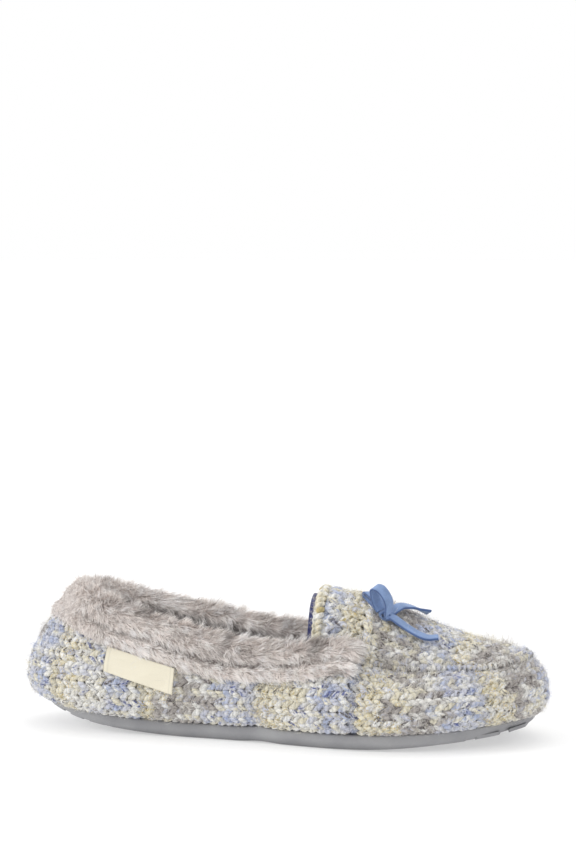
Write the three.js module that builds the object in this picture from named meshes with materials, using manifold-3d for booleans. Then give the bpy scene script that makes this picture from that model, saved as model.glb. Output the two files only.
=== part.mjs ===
// A knitted moccasin slipper for the right foot: moulded sole, knitted wall and toe plug,
// faux fur cuff, bare woven label and a suede bow. Millimetres, +X to the toe, +Y to the
// inner side of the foot, +Z up. Heights are taken from the ground that the lugs stand on.

import * as THREE from 'three';
import Module from 'manifold-3d';

const wasm = await Module();
wasm.setup();

// Driving sizes of the shoe.
const SOLE_LENGTH = 240;
const BALL_WIDTH = 88;
const COLLAR_HEIGHT = 63;
const INSTEP_HEIGHT = 72;
const TOE_SPRING = 8.2;
const HEEL_SPRING = 10.5;
const ARCH_LIFT = 0.6;
const FIT = 0.3;

// Sole.
const SOLE_THICKNESS = 5.8;
const TOE_THIN = 3;
const HEEL_THIN = 4.5;
const LUG_HEIGHT = 1.5;
const LUG_PITCH = 12.5;
const GROOVE_WIDTH = 4;
const GROOVE_WAVE = 1.6;
const GROOVE_REACH = 54.5;
const GROOVE_BENDS = 6;
const EDGE_ROUND = 2;
const SIDE_STEP = 0.7;
const TURN_IN = 0.35;
const INSOLE_THICKNESS = 5;
const INSOLE_EDGE = 1.5;

// Knitted wall and plug.
const WALL = 3.5;
const WALL_INSET = 1;
const WALL_FOOT = 4.2;
const SEAM_BEAD = 2;
const SEAM_WIDTH = 5.2;
const TONGUE_TUCK = 7;
const TONGUE_DROP = 8;
const TONGUE_TURN = 4;
const BINDING_RADIUS = 2.1;
const FACING = 1.6;
const FACING_PROUD = 3.5;
const FACING_LENGTH = 21;
const FACING_TRIM = 1;
const SHEET_GAP = 0.7;

// Fur cuff.
const CUFF_GAP = 0.5;
const CUFF_CORNER_GAP = 0.7;
const CUFF_DEPTH = 6.2;
const CUFF_INSIDE = 18;
const CUFF_INSIDE_LEAST = 2;
const CUFF_SLIM = 0.4;
const CUFF_BACK_OFF = 3;
const LOCK_LENGTH = 13;
const LOCK_WIDTH = 9;

// Label and bow.
const LABEL_AT = 0.238;
const LABEL_LENGTH = 34;
const LABEL_HEIGHT = 12;
const LABEL_THICKNESS = 0.9;
const RIBBON_WIDTH = 6;
const RIBBON_THICKNESS = 1.2;

// Outline of the sole: length from the heel as a share of SOLE_LENGTH, and distance from the
// centre line as a share of BALL_WIDTH, outer side first.
const OUTLINE = [
  { along: 0.0, out: 0.0 },
  { along: 0.045, out: -0.22 },
  { along: 0.14, out: -0.335 },
  { along: 0.3, out: -0.36 },
  { along: 0.45, out: -0.4 },
  { along: 0.62, out: -0.485 },
  { along: 0.75, out: -0.49 },
  { along: 0.88, out: -0.36 },
  { along: 0.965, out: -0.16 },
  { along: 1.0, out: 0.06 },
  { along: 0.965, out: 0.27 },
  { along: 0.88, out: 0.42 },
  { along: 0.74, out: 0.51 },
  { along: 0.6, out: 0.45 },
  { along: 0.45, out: 0.36 },
  { along: 0.3, out: 0.335 },
  { along: 0.14, out: 0.335 },
  { along: 0.045, out: 0.22 },
];
const HEEL_AT = 0;
const TOE_AT = 9;

// Wall of the upper. outer and inner are the heights of the knitted edge on the two sides, as
// shares of COLLAR_HEIGHT. low, high and lean bend the wall: how far it swells over the sole's
// edge near its foot and near its top, and how far its edge leans in, as shares of BALL_WIDTH.
// shoulder is the height of the upper bend, as a share of the wall's own height.
const WALL_ROWS = [
  { along: 0.0, outer: 1.055, inner: 1.055, low: 0.255, high: 0.045, shoulder: 0.69, lean: 0.183 },
  { along: 0.05, outer: 1.035, inner: 1.035, low: 0.24, high: 0.045, shoulder: 0.69, lean: 0.172 },
  { along: 0.14, outer: 0.94, inner: 0.965, low: 0.195, high: 0.045, shoulder: 0.7, lean: 0.14 },
  { along: 0.24, outer: 0.835, inner: 0.88, low: 0.15, high: 0.04, shoulder: 0.71, lean: 0.1 },
  { along: 0.34, outer: 0.745, inner: 0.8, low: 0.12, high: 0.035, shoulder: 0.73, lean: 0.08 },
  { along: 0.44, outer: 0.685, inner: 0.73, low: 0.105, high: 0.035, shoulder: 0.76, lean: 0.08 },
  { along: 0.53, outer: 0.68, inner: 0.715, low: 0.1, high: 0.04, shoulder: 0.79, lean: 0.095 },
  { along: 0.61, outer: 0.71, inner: 0.73, low: 0.1, high: 0.05, shoulder: 0.82, lean: 0.125 },
  { along: 0.655, outer: 0.72, inner: 0.73, low: 0.1, high: 0.058, shoulder: 0.84, lean: 0.15 },
  { along: 0.695, outer: 0.6, inner: 0.61, low: 0.1, high: 0.068, shoulder: 0.87, lean: 0.175 },
  { along: 0.74, outer: 0.555, inner: 0.56, low: 0.1, high: 0.068, shoulder: 0.87, lean: 0.185 },
  { along: 0.81, outer: 0.548, inner: 0.55, low: 0.1, high: 0.067, shoulder: 0.87, lean: 0.165 },
  { along: 0.88, outer: 0.556, inner: 0.556, low: 0.1, high: 0.066, shoulder: 0.87, lean: 0.135 },
  { along: 0.93, outer: 0.558, inner: 0.558, low: 0.1, high: 0.068, shoulder: 0.86, lean: 0.09 },
  { along: 0.965, outer: 0.575, inner: 0.575, low: 0.095, high: 0.07, shoulder: 0.86, lean: 0.06 },
  { along: 1.0, outer: 0.605, inner: 0.605, low: 0.085, high: 0.07, shoulder: 0.85, lean: 0.035 },
];
const THROAT = 0.675;
const FOOT_BEND = 0.05;

// Spine of the plug and tongue: height as a share of INSTEP_HEIGHT, and how full its sides are.
const CROWN_ROWS = [
  { along: 0.52, height: 0.99, full: 0.55 },
  { along: 0.575, height: 0.98, full: 0.55 },
  { along: 0.65, height: 0.942, full: 0.6 },
  { along: 0.729, height: 0.852, full: 0.7 },
  { along: 0.804, height: 0.748, full: 0.75 },
  { along: 0.888, height: 0.664, full: 0.85 },
  { along: 0.929, height: 0.632, full: 0.95 },
  { along: 0.971, height: 0.594, full: 1 },
  { along: 0.996, height: 0.542, full: 1 },
];
const TONGUE_END = 0.575;

// Length of the cuff's outer leg along the wall, as a share of COLLAR_HEIGHT.
const CUFF_LEG_ROWS = [
  { along: 0.0, leg: 0.3 },
  { along: 0.14, leg: 0.31 },
  { along: 0.24, leg: 0.29 },
  { along: 0.34, leg: 0.28 },
  { along: 0.5, leg: 0.26 },
  { along: 0.66, leg: 0.26 },
];

// Behind the tongue the cuff grows to its full depth and its full reach inside: the distances
// over which each grows, as shares of SOLE_LENGTH.
const CUFF_GROWS = { from: 0.02, deep: 0.12, inside: 0.3 };

// Fold of the cuff over the knitted edge: on the outer face, over the edge and down the inner
// face, how far from the edge as a share of that leg, and how deep the pile stands.
const CUFF_FOLD = [
  { face: 'outer', reach: 1.0, deep: 0.3 },
  { face: 'outer', reach: 0.84, deep: 0.8 },
  { face: 'outer', reach: 0.58, deep: 0.6 },
  { face: 'outer', reach: 0.32, deep: 1.0 },
  { face: 'outer', reach: 0.0, deep: 1.05 },
  { face: 'edge', reach: 0.5, deep: 1.0 },
  { face: 'inner', reach: 0.0, deep: 0.85 },
  { face: 'inner', reach: 0.5, deep: 0.7 },
  { face: 'inner', reach: 1.0, deep: 0.3 },
];

// A lock of pile from root to tip: how far along it lies and how far it lifts, as shares of its
// length, and half its width as a share of its full width. It is LOCK_FLAT times as thick as wide.
const LOCK_SHAPE = [
  { forward: -0.3, lift: -0.06, half: 0.35 },
  { forward: 0.25, lift: 0.0, half: 0.5 },
  { forward: 0.8, lift: -0.02, half: 0.12 },
];
const LOCK_FLAT = 0.32;

// Rows of CUFF_FOLD that locks grow from, the last row on the outer face among them, and how far
// from the cuff's two ends they begin and stop, in sections.
const LOCK_ROWS = [2, 3, 4, 5, 6];
const LAST_OUTER_ROW = 3;
const LOCK_MARGIN = { start: 0.6, both: 2.2 };

// Counts that set how finely the pieces are faceted.
const COLLAR_STEPS = 20;
const SEAM_STEPS = 14;
const FACE_STEPS = [0, 0.12, 0.26, 0.42, 0.58, 0.74, 0.88, 1];
const PLUG_COLUMNS = 14;
const TONGUE_STEPS = 5;
const BINDING_SIDES = 8;
const LOCK_COUNT = 55;

const { lerp, clamp, smoothstep } = THREE.MathUtils;

// Value of one column of a table between its rows, as a smooth curve through them.
function through(rows, column, at) {
  const last = rows.length - 1;
  const place = clamp(at, rows[0].along, rows[last].along);
  let i = 0;
  while (i < last - 1 && rows[i + 1].along < place) i += 1;
  const slope = (k) => {
    const back = rows[Math.max(k - 1, 0)];
    const front = rows[Math.min(k + 1, last)];
    return (front[column] - back[column]) / (front.along - back.along);
  };
  const span = rows[i + 1].along - rows[i].along;
  const t = (place - rows[i].along) / span;
  const t2 = t * t;
  const t3 = t2 * t;
  return (2 * t3 - 3 * t2 + 1) * rows[i][column] + (t3 - 2 * t2 + t) * span * slope(i)
    + (3 * t2 - 2 * t3) * rows[i + 1][column] + (t3 - t2) * span * slope(i + 1);
}

// Where the sole starts to rise to the heel's back and to the toe.
const HEEL_RISE_X = -0.16 * SOLE_LENGTH;
const TOE_RISE_X = 0.11 * SOLE_LENGTH;

// Share from 0 where the toe starts to rise to 1 at the tip, and the same for the heel.
function toeShare(x) {
  return Math.max(x - TOE_RISE_X, 0) / (SOLE_LENGTH / 2 - TOE_RISE_X);
}

function heelShare(x) {
  return Math.max(HEEL_RISE_X - x, 0) / (SOLE_LENGTH / 2 + HEEL_RISE_X);
}

// Height of the sole's underside above the ground: a low arch between two flats, and long
// curves up to both ends.
function soleLift(x) {
  const archBack = -0.07 * SOLE_LENGTH;
  const archFront = 0.03 * SOLE_LENGTH;
  if (x < HEEL_RISE_X) return HEEL_SPRING * heelShare(x) ** 2;
  if (x > TOE_RISE_X) return TOE_SPRING * toeShare(x) ** 2;
  if (x < archBack || x > archFront) return 0;
  return ARCH_LIFT * Math.sin(Math.PI * (x - archBack) / (archFront - archBack)) ** 2;
}

// Height of the sole from its lugs to its top, which thins to both ends.
function soleHeight(x) {
  return LUG_HEIGHT + SOLE_THICKNESS - TOE_THIN * toeShare(x) ** 2 - HEEL_THIN * heelShare(x) ** 2;
}

function soleTop(x) {
  return soleLift(x) + soleHeight(x);
}

// Point of the sole's outline at a place counted in rows, with its outward direction.
function outlineAt(place) {
  const count = OUTLINE.length;
  const row = (k) => OUTLINE[((k % count) + count) % count];
  const spline = (column, size, at) => {
    const i = Math.floor(at);
    const t = at - i;
    const [a, b, c, d] = [row(i - 1)[column], row(i)[column], row(i + 1)[column], row(i + 2)[column]];
    const value = b + 0.5 * t * (c - a + t * (2 * a - 5 * b + 4 * c - d + t * (3 * (b - c) + d - a)));
    return value * size;
  };
  const at = (u) => new THREE.Vector2(
    spline('along', SOLE_LENGTH, u) - SOLE_LENGTH / 2,
    spline('out', BALL_WIDTH, u),
  );
  const point = at(place);
  const ahead = at(place + 0.01).sub(at(place - 0.01)).normalize();
  return { x: point.x, y: point.y, nx: ahead.y, ny: -ahead.x };
}

// Places that cut a stretch of the outline into equal lengths.
function evenPlaces(from, to, parts) {
  const fine = 40 * parts;
  const lengths = [0];
  for (let i = 1; i <= fine; i += 1) {
    const a = outlineAt(lerp(from, to, (i - 1) / fine));
    const b = outlineAt(lerp(from, to, i / fine));
    lengths.push(lengths[i - 1] + Math.hypot(b.x - a.x, b.y - a.y));
  }
  const places = [];
  for (let k = 0; k < parts; k += 1) {
    const wanted = lengths[fine] * k / parts;
    let i = 0;
    while (lengths[i + 1] < wanted) i += 1;
    const part = (wanted - lengths[i]) / (lengths[i + 1] - lengths[i]);
    places.push(lerp(from, to, (i + part) / fine));
  }
  return places;
}

// Place on the outer or the inner side where the outline reaches a given length.
function placeAt(x, onOuterSide) {
  let [low, high] = onOuterSide ? [HEEL_AT, TOE_AT] : [OUTLINE.length, TOE_AT];
  for (let i = 0; i < 50; i += 1) {
    const middle = (low + high) / 2;
    if (outlineAt(middle).x < x) low = middle;
    else high = middle;
  }
  return (low + high) / 2;
}

const THROAT_X = (THROAT - 0.5) * SOLE_LENGTH;
const TONGUE_X = (TONGUE_END - 0.5) * SOLE_LENGTH;
const OUTER_THROAT = placeAt(THROAT_X, true);
const INNER_THROAT = placeAt(THROAT_X, false);
const OUTER_FRONT = placeAt(THROAT_X - CUFF_BACK_OFF, true);
const INNER_FRONT = placeAt(THROAT_X - CUFF_BACK_OFF, false);
const STATIONS = [
  ...evenPlaces(HEEL_AT, OUTER_FRONT, COLLAR_STEPS),
  OUTER_FRONT,
  ...evenPlaces(OUTER_THROAT, TOE_AT, SEAM_STEPS),
  ...evenPlaces(TOE_AT, INNER_THROAT, SEAM_STEPS),
  INNER_THROAT,
  ...evenPlaces(INNER_FRONT, OUTLINE.length, COLLAR_STEPS),
];
const ROWS = COLLAR_STEPS + 1 + SEAM_STEPS;

// Station on the other side of the shoe that shares a row across with this one.
function partner(i) {
  return STATIONS[(STATIONS.length - i) % STATIONS.length];
}

// Section of the knitted wall at a place of the outline. Its points are pairs: how far out from
// the outline, and how high over the sole.
function wallSection(place) {
  const spot = outlineAt(place);
  const along = spot.x / SOLE_LENGTH + 0.5;
  const side = place <= TOE_AT ? 'outer' : 'inner';
  const foot = soleTop(spot.x) + FIT;
  const rise = through(WALL_ROWS, side, along) * COLLAR_HEIGHT - foot;
  const bend = (column) => through(WALL_ROWS, column, along) * BALL_WIDTH;
  const shoulder = through(WALL_ROWS, 'shoulder', along);
  const curve = new THREE.CubicBezierCurve(
    new THREE.Vector2(-WALL_INSET, 0),
    new THREE.Vector2(bend('low'), FOOT_BEND * rise),
    new THREE.Vector2(bend('high'), shoulder * rise),
    new THREE.Vector2(-bend('lean'), rise),
  );
  const outer = FACE_STEPS.map((t) => curve.getPoint(t));
  const inward = FACE_STEPS.map((t) => {
    const tangent = curve.getTangent(t);
    return new THREE.Vector2(-tangent.y, tangent.x);
  });
  const inner = outer.map((point, k) => point.clone().addScaledVector(inward[k], WALL));
  inner[0].set(-WALL_INSET - WALL_FOOT, 0);
  return {
    spot,
    along,
    foot,
    outer,
    inner,
    inward,
    edge: curve.getTangent(1),
    place3d: (p) => new THREE.Vector3(spot.x + spot.nx * p.x, spot.y + spot.ny * p.x, foot + p.y),
  };
}

// Point on a face of the section, a given length down from its edge, and the way out of that
// face.
function downFace(section, face, length) {
  const points = section[face];
  const sign = face === 'outer' ? -1 : 1;
  let left = length;
  let i = points.length - 1;
  while (i > 1 && points[i].distanceTo(points[i - 1]) < left) {
    left -= points[i].distanceTo(points[i - 1]);
    i -= 1;
  }
  const share = left / points[i].distanceTo(points[i - 1]);
  return {
    point: points[i].clone().lerp(points[i - 1], share),
    away: section.inward[i].clone().lerp(section.inward[i - 1], share).normalize().multiplyScalar(sign),
  };
}

// Closed solid from position triples and triangles: points that fall together are joined,
// triangles that collapse are dropped, and the faces are turned outwards.
function solidGeometry(points, triangles) {
  const seen = new Map();
  const positions = [];
  const index = points.map((p) => {
    const key = `${p.x.toFixed(3)} ${p.y.toFixed(3)} ${p.z.toFixed(3)}`;
    if (!seen.has(key)) {
      seen.set(key, positions.length);
      positions.push(p);
    }
    return seen.get(key);
  });
  const faces = triangles
    .map((t) => t.map((k) => index[k]))
    .filter(([a, b, c]) => a !== b && b !== c && c !== a);
  let volume = 0;
  for (const [a, b, c] of faces) {
    volume += positions[a].dot(positions[b].clone().cross(positions[c]));
  }
  const geometry = new THREE.BufferGeometry();
  const numbers = positions.flatMap((p) => p.toArray());
  geometry.setAttribute('position', new THREE.Float32BufferAttribute(numbers, 3));
  geometry.setIndex(faces.flatMap(([a, b, c]) => (volume > 0 ? [a, b, c] : [a, c, b])));
  return geometry;
}

// Triangles that close a ring of points, which may be bent but is seen flat from its own side.
function capTriangles(ring) {
  const normal = new THREE.Vector3();
  ring.forEach((p, k) => normal.add(p.clone().cross(ring[(k + 1) % ring.length])));
  if (normal.length() < 1e-3) return [];
  normal.normalize();
  const sideways = ring[1].clone().sub(ring[0]).projectOnPlane(normal).normalize();
  const upwards = normal.clone().cross(sideways);
  const flat = ring.map((p) => new THREE.Vector2(p.dot(sideways), p.dot(upwards)));
  return THREE.ShapeUtils.triangulateShape(flat, []);
}

// Solid skin over rings with the same number of points each. It closes on itself, or has a cap
// on each end.
function loft(rings, closed = false) {
  const size = rings[0].length;
  const points = rings.flat();
  const triangles = [];
  const spans = closed ? rings.length : rings.length - 1;
  for (let r = 0; r < spans; r += 1) {
    const here = r * size;
    const next = ((r + 1) % rings.length) * size;
    for (let k = 0; k < size; k += 1) {
      const k2 = (k + 1) % size;
      triangles.push([here + k, here + k2, next + k2], [here + k, next + k2, next + k]);
    }
  }
  if (!closed) {
    const end = (rings.length - 1) * size;
    capTriangles(rings[0]).forEach(([a, b, c]) => triangles.push([c, b, a]));
    capTriangles(rings[rings.length - 1]).forEach(([a, b, c]) => triangles.push([end + a, end + b, end + c]));
  }
  return solidGeometry(points, triangles);
}

function toManifold(geometry) {
  const index = geometry.index ? geometry.index.array : geometry.attributes.position.array.map((v, k) => k);
  return new wasm.Manifold(new wasm.Mesh({
    numProp: 3,
    vertProperties: new Float32Array(geometry.attributes.position.array),
    triVerts: new Uint32Array(index),
  }));
}

function fromManifold(manifold) {
  const mesh = manifold.getMesh();
  const points = [];
  for (let i = 0; i < mesh.vertProperties.length; i += mesh.numProp) {
    points.push(new THREE.Vector3().fromArray(mesh.vertProperties, i));
  }
  const triangles = [];
  for (let i = 0; i < mesh.triVerts.length; i += 3) {
    triangles.push([mesh.triVerts[i], mesh.triVerts[i + 1], mesh.triVerts[i + 2]]);
  }
  return solidGeometry(points, triangles);
}

// Ring across the shoe, from a line of points on the outer side and the same on the inner side.
function ringAcross(i, line) {
  const near = line(STATIONS[i % STATIONS.length]);
  const far = line(partner(i)).reverse();
  return [...near, ...far];
}

// Sole: underside, rounded edge, a step above the lugs, and the side wall up to its top.
function soleBody() {
  const top = LUG_HEIGHT + SOLE_THICKNESS;
  const profile = [
    [-EDGE_ROUND - SIDE_STEP, 0],
    [-SIDE_STEP - 0.2, 0.6 * LUG_HEIGHT],
    [-SIDE_STEP, LUG_HEIGHT],
    [0, LUG_HEIGHT + SIDE_STEP],
    [0, top - SIDE_STEP],
    [-SIDE_STEP, top],
  ];
  const line = (place) => {
    const spot = outlineAt(place);
    const lift = soleLift(spot.x);
    const thin = soleHeight(spot.x) / top;
    return profile.map(([out, up]) => {
      const drawn = out - TURN_IN * lift * (1 - up / top);
      return new THREE.Vector3(spot.x + spot.nx * drawn, spot.y + spot.ny * drawn, lift + up * thin);
    });
  };
  const rings = [];
  for (let i = 0; i <= ROWS; i += 1) rings.push(ringAcross(i, line));
  return loft(rings);
}

// Wavy groove across the whole width, with its roof at the lugs' root.
function grooveCutter(x) {
  const edge = (side) => {
    const points = [];
    for (let k = 0; k <= GROOVE_BENDS; k += 1) {
      const wave = k % 2 === 0 ? GROOVE_WAVE : -GROOVE_WAVE;
      const across = lerp(-GROOVE_REACH, GROOVE_REACH, k / GROOVE_BENDS);
      points.push(new THREE.Vector2(wave + side * GROOVE_WIDTH / 2, across));
    }
    return points;
  };
  const shape = new THREE.Shape([...edge(1), ...edge(-1).reverse()]);
  const geometry = new THREE.ExtrudeGeometry(shape, { depth: 3 * LUG_HEIGHT, bevelEnabled: false });
  const slope = (soleLift(x + 1) - soleLift(x - 1)) / 2;
  geometry.translate(0, 0, -2 * LUG_HEIGHT);
  geometry.rotateY(-Math.atan(slope));
  geometry.translate(x, 0, soleLift(x));
  return mergedGeometry(geometry);
}

// Copy of a geometry with shared corners, as the boolean cuts need it.
function mergedGeometry(geometry) {
  const source = geometry.index ? geometry.toNonIndexed() : geometry;
  const position = source.attributes.position;
  const points = [];
  const triangles = [];
  for (let i = 0; i < position.count; i += 1) {
    points.push(new THREE.Vector3().fromBufferAttribute(position, i));
    if (i % 3 === 0) triangles.push([i, i + 1, i + 2]);
  }
  return solidGeometry(points, triangles);
}

function outsoleGeometry() {
  const count = Math.floor((SOLE_LENGTH - LUG_PITCH) / LUG_PITCH);
  const first = -LUG_PITCH * (count - 1) / 2;
  let body = toManifold(soleBody());
  for (let k = 0; k < count; k += 1) {
    body = body.subtract(toManifold(grooveCutter(first + k * LUG_PITCH)));
  }
  return fromManifold(body);
}

// Footbed: its sides follow the inner face of the wall.
function insoleGeometry() {
  const line = (place) => {
    const wall = wallSection(place);
    const atHeight = (height) => {
      let k = 1;
      while (k < wall.inner.length - 2 && wall.inner[k].y < height) k += 1;
      const share = (height - wall.inner[k - 1].y) / (wall.inner[k].y - wall.inner[k - 1].y);
      return lerp(wall.inner[k - 1].x, wall.inner[k].x, share) - 2 * FIT;
    };
    const foot = Math.min(atHeight(0), -WALL_INSET - WALL_FOOT - 2 * FIT);
    return [
      new THREE.Vector2(foot, 0),
      new THREE.Vector2(atHeight(INSOLE_THICKNESS - INSOLE_EDGE), INSOLE_THICKNESS - INSOLE_EDGE),
      new THREE.Vector2(atHeight(INSOLE_THICKNESS) - INSOLE_EDGE, INSOLE_THICKNESS),
    ].map(wall.place3d);
  };
  const rings = [];
  for (let i = 0; i <= ROWS; i += 1) rings.push(ringAcross(i, line));
  return loft(rings);
}

function upperGeometry() {
  const rings = STATIONS.map((place) => {
    const wall = wallSection(place);
    return [...wall.outer, ...wall.inner.slice().reverse()].map(wall.place3d);
  });
  return loft(rings, true);
}

// Edge of the plug on one side: against the knitted edge along the seam, and tucked in below
// the collar along the tongue.
function plugEdge(place) {
  const wall = wallSection(place);
  const tuck = smoothstep(THROAT_X - wall.spot.x, 0, TONGUE_TURN);
  const last = wall.outer.length - 1;
  const shift = wall.edge.clone().multiplyScalar(FIT);
  const drop = new THREE.Vector2(-TONGUE_TUCK, -TONGUE_DROP).multiplyScalar(tuck);
  return {
    top: wall.place3d(wall.outer[last].clone().add(shift).add(drop)),
    under: wall.place3d(wall.inner[last].clone().add(shift).add(drop)),
  };
}

// Point of the plug's upper surface on the line between two edge points: share runs from -1 on
// the outer side to 1 on the inner side.
function plugPoint(near, far, share, bead) {
  const half = near.distanceTo(far) / 2;
  const point = near.clone().lerp(far, (share + 1) / 2);
  const along = point.x / SOLE_LENGTH + 0.5;
  const base = (near.z + far.z) / 2;
  const crown = through(CROWN_ROWS, 'height', along) * INSTEP_HEIGHT;
  const full = through(CROWN_ROWS, 'full', along);
  const rise = Math.max(crown - base, 0) * smoothstep(half, 0, SEAM_WIDTH);
  point.z += rise * Math.max(1 - share * share, 0) ** full;
  const fromEdge = (1 - Math.abs(share)) * half;
  if (fromEdge < SEAM_WIDTH) point.z += bead * Math.sin(Math.PI * fromEdge / SEAM_WIDTH);
  return point;
}

// Places on the two sides for a row of the plug: the first rows are stations of the seam from
// the toe back, and the rest step back along the tongue.
function plugRow(row) {
  if (row <= SEAM_STEPS) {
    const i = ROWS - row;
    return [STATIONS[i], partner(i)];
  }
  const x = lerp(THROAT_X, TONGUE_X, (row - SEAM_STEPS) / TONGUE_STEPS);
  return [placeAt(x, true), placeAt(x, false)];
}

function acrossShare(column) {
  return Math.sin(Math.PI / 2 * (2 * column / PLUG_COLUMNS - 1));
}

// Rows of upper points with the lower points a given depth under them.
function shellRing(topRow, before, after, depth, underEdge) {
  const size = topRow.length;
  const under = topRow.map((point, k) => {
    const sideways = topRow[Math.min(k + 1, size - 1)].clone().sub(topRow[Math.max(k - 1, 0)]);
    const lengthways = after[k].clone().sub(before[k]);
    const normal = sideways.cross(lengthways).normalize();
    if (normal.z < 0) normal.negate();
    return point.clone().addScaledVector(normal, -depth);
  });
  if (underEdge) {
    under[0] = underEdge[0];
    under[size - 1] = underEdge[1];
  }
  return [...topRow, ...under.reverse()];
}

function plugGeometry() {
  const tops = [];
  const edges = [];
  for (let row = 0; row <= SEAM_STEPS + TONGUE_STEPS; row += 1) {
    const [near, far] = plugRow(row).map(plugEdge);
    const bead = row <= SEAM_STEPS ? SEAM_BEAD : 0;
    const line = [];
    for (let column = 0; column <= PLUG_COLUMNS; column += 1) {
      line.push(plugPoint(near.top, far.top, acrossShare(column), bead));
    }
    tops.push(line);
    edges.push([near.under, far.under]);
  }
  const last = tops.length - 1;
  const rings = tops.map((top, row) => {
    if (row === 0) return [...top, ...top.map(() => edges[0][0])];
    return shellRing(top, tops[row - 1], tops[Math.min(row + 1, last)], WALL, edges[row]);
  });
  return loft(rings);
}

// Surface of the tongue at a length x, also past its free end, a given depth under its top.
function tongueRow(x, depth) {
  const row = (at) => {
    const [near, far] = [plugEdge(placeAt(at, true)), plugEdge(placeAt(at, false))];
    const line = [];
    for (let column = 0; column <= PLUG_COLUMNS; column += 1) {
      line.push(plugPoint(near.top, far.top, acrossShare(column), 0));
    }
    return line;
  };
  const here = row(x);
  const ring = shellRing(here, row(x + 1), row(x - 1), depth);
  return ring.slice(here.length).reverse();
}

// Rolled knitted edge behind the tongue's free end.
function bindingGeometry() {
  const centre = tongueRow(TONGUE_X, WALL / 2);
  const rings = centre.map((point, k) => {
    const before = centre[Math.max(k - 1, 0)];
    const after = centre[Math.min(k + 1, centre.length - 1)];
    const out = new THREE.Vector3(0, before.z - after.z, after.y - before.y).normalize();
    const ring = [];
    for (let side = 0; side < BINDING_SIDES; side += 1) {
      const angle = 2 * Math.PI * side / BINDING_SIDES;
      ring.push(new THREE.Vector3(
        point.x - BINDING_RADIUS - FIT + BINDING_RADIUS * Math.cos(angle),
        point.y + out.y * BINDING_RADIUS * Math.sin(angle),
        point.z + out.z * BINDING_RADIUS * Math.sin(angle),
      ));
    }
    return ring;
  });
  return loft(rings);
}

// Lining sheet under the tongue. It runs back under the binding and stands proud behind it.
function facingGeometry() {
  const back = TONGUE_X - 2 * BINDING_RADIUS - FIT - FACING_PROUD;
  const front = back + FACING_LENGTH;
  const steps = 5;
  const rings = [];
  for (let i = 0; i <= steps; i += 1) {
    const x = lerp(front, back, i / steps);
    const top = tongueRow(x, WALL + SHEET_GAP).slice(FACING_TRIM, -FACING_TRIM);
    const under = tongueRow(x, WALL + SHEET_GAP + FACING).slice(FACING_TRIM, -FACING_TRIM);
    rings.push([...top, ...under.reverse()]);
  }
  return loft(rings);
}

// Places of the cuff's sections: the stations of the collar, from one front end round the heel
// to the other.
function cuffPlaces() {
  return [...STATIONS.slice(0, COLLAR_STEPS + 1).reverse(), ...STATIONS.slice(-COLLAR_STEPS).reverse()];
}

function cuffLeg(along) {
  return through(CUFF_LEG_ROWS, 'leg', along) * COLLAR_HEIGHT;
}

// Points of the cuff's lining side and of its pile side on one section.
function cuffLines(place) {
  const wall = wallSection(place);
  const behindTongue = TONGUE_X - FACING_PROUD - wall.spot.x;
  const grown = (to) => smoothstep(behindTongue, CUFF_GROWS.from * SOLE_LENGTH, to * SOLE_LENGTH);
  const open = grown(CUFF_GROWS.deep);
  const inside = CUFF_INSIDE_LEAST + CUFF_INSIDE * grown(CUFF_GROWS.inside);
  const last = wall.outer.length - 1;
  const back = [];
  const pile = [];
  for (const { face, reach, deep } of CUFF_FOLD) {
    let spot;
    if (face === 'edge') {
      spot = { point: wall.outer[last].clone().lerp(wall.inner[last], reach), away: wall.edge.clone() };
    } else {
      const leg = face === 'outer' ? cuffLeg(wall.along) : inside;
      spot = downFace(wall, face, reach * leg);
      if (reach === 0) spot.away.add(wall.edge).normalize();
    }
    const depth = CUFF_DEPTH * deep * (face === 'outer' ? 1 : lerp(CUFF_SLIM, 1, open));
    const gap = reach === 0 ? CUFF_CORNER_GAP : CUFF_GAP;
    back.push(wall.place3d(spot.point.clone().addScaledVector(spot.away, gap)));
    pile.push(wall.place3d(spot.point.clone().addScaledVector(spot.away, gap + depth)));
  }
  return { back, pile, open };
}

// One lock of pile: a four-sided flat tuft that widens from its root and tapers to its tip.
function lockGeometry(root, out, lay, width, length) {
  const across = out.clone().cross(lay).normalize();
  const rings = LOCK_SHAPE.map(({ forward, lift, half }) => {
    const centre = root.clone().addScaledVector(lay, forward * length).addScaledVector(out, lift * length);
    return [[1, 0], [0, LOCK_FLAT], [-1, 0], [0, -LOCK_FLAT]].map(([a, b]) => centre.clone()
      .addScaledVector(across, a * half * width)
      .addScaledVector(out, b * half * width));
  });
  return loft(rings);
}

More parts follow.
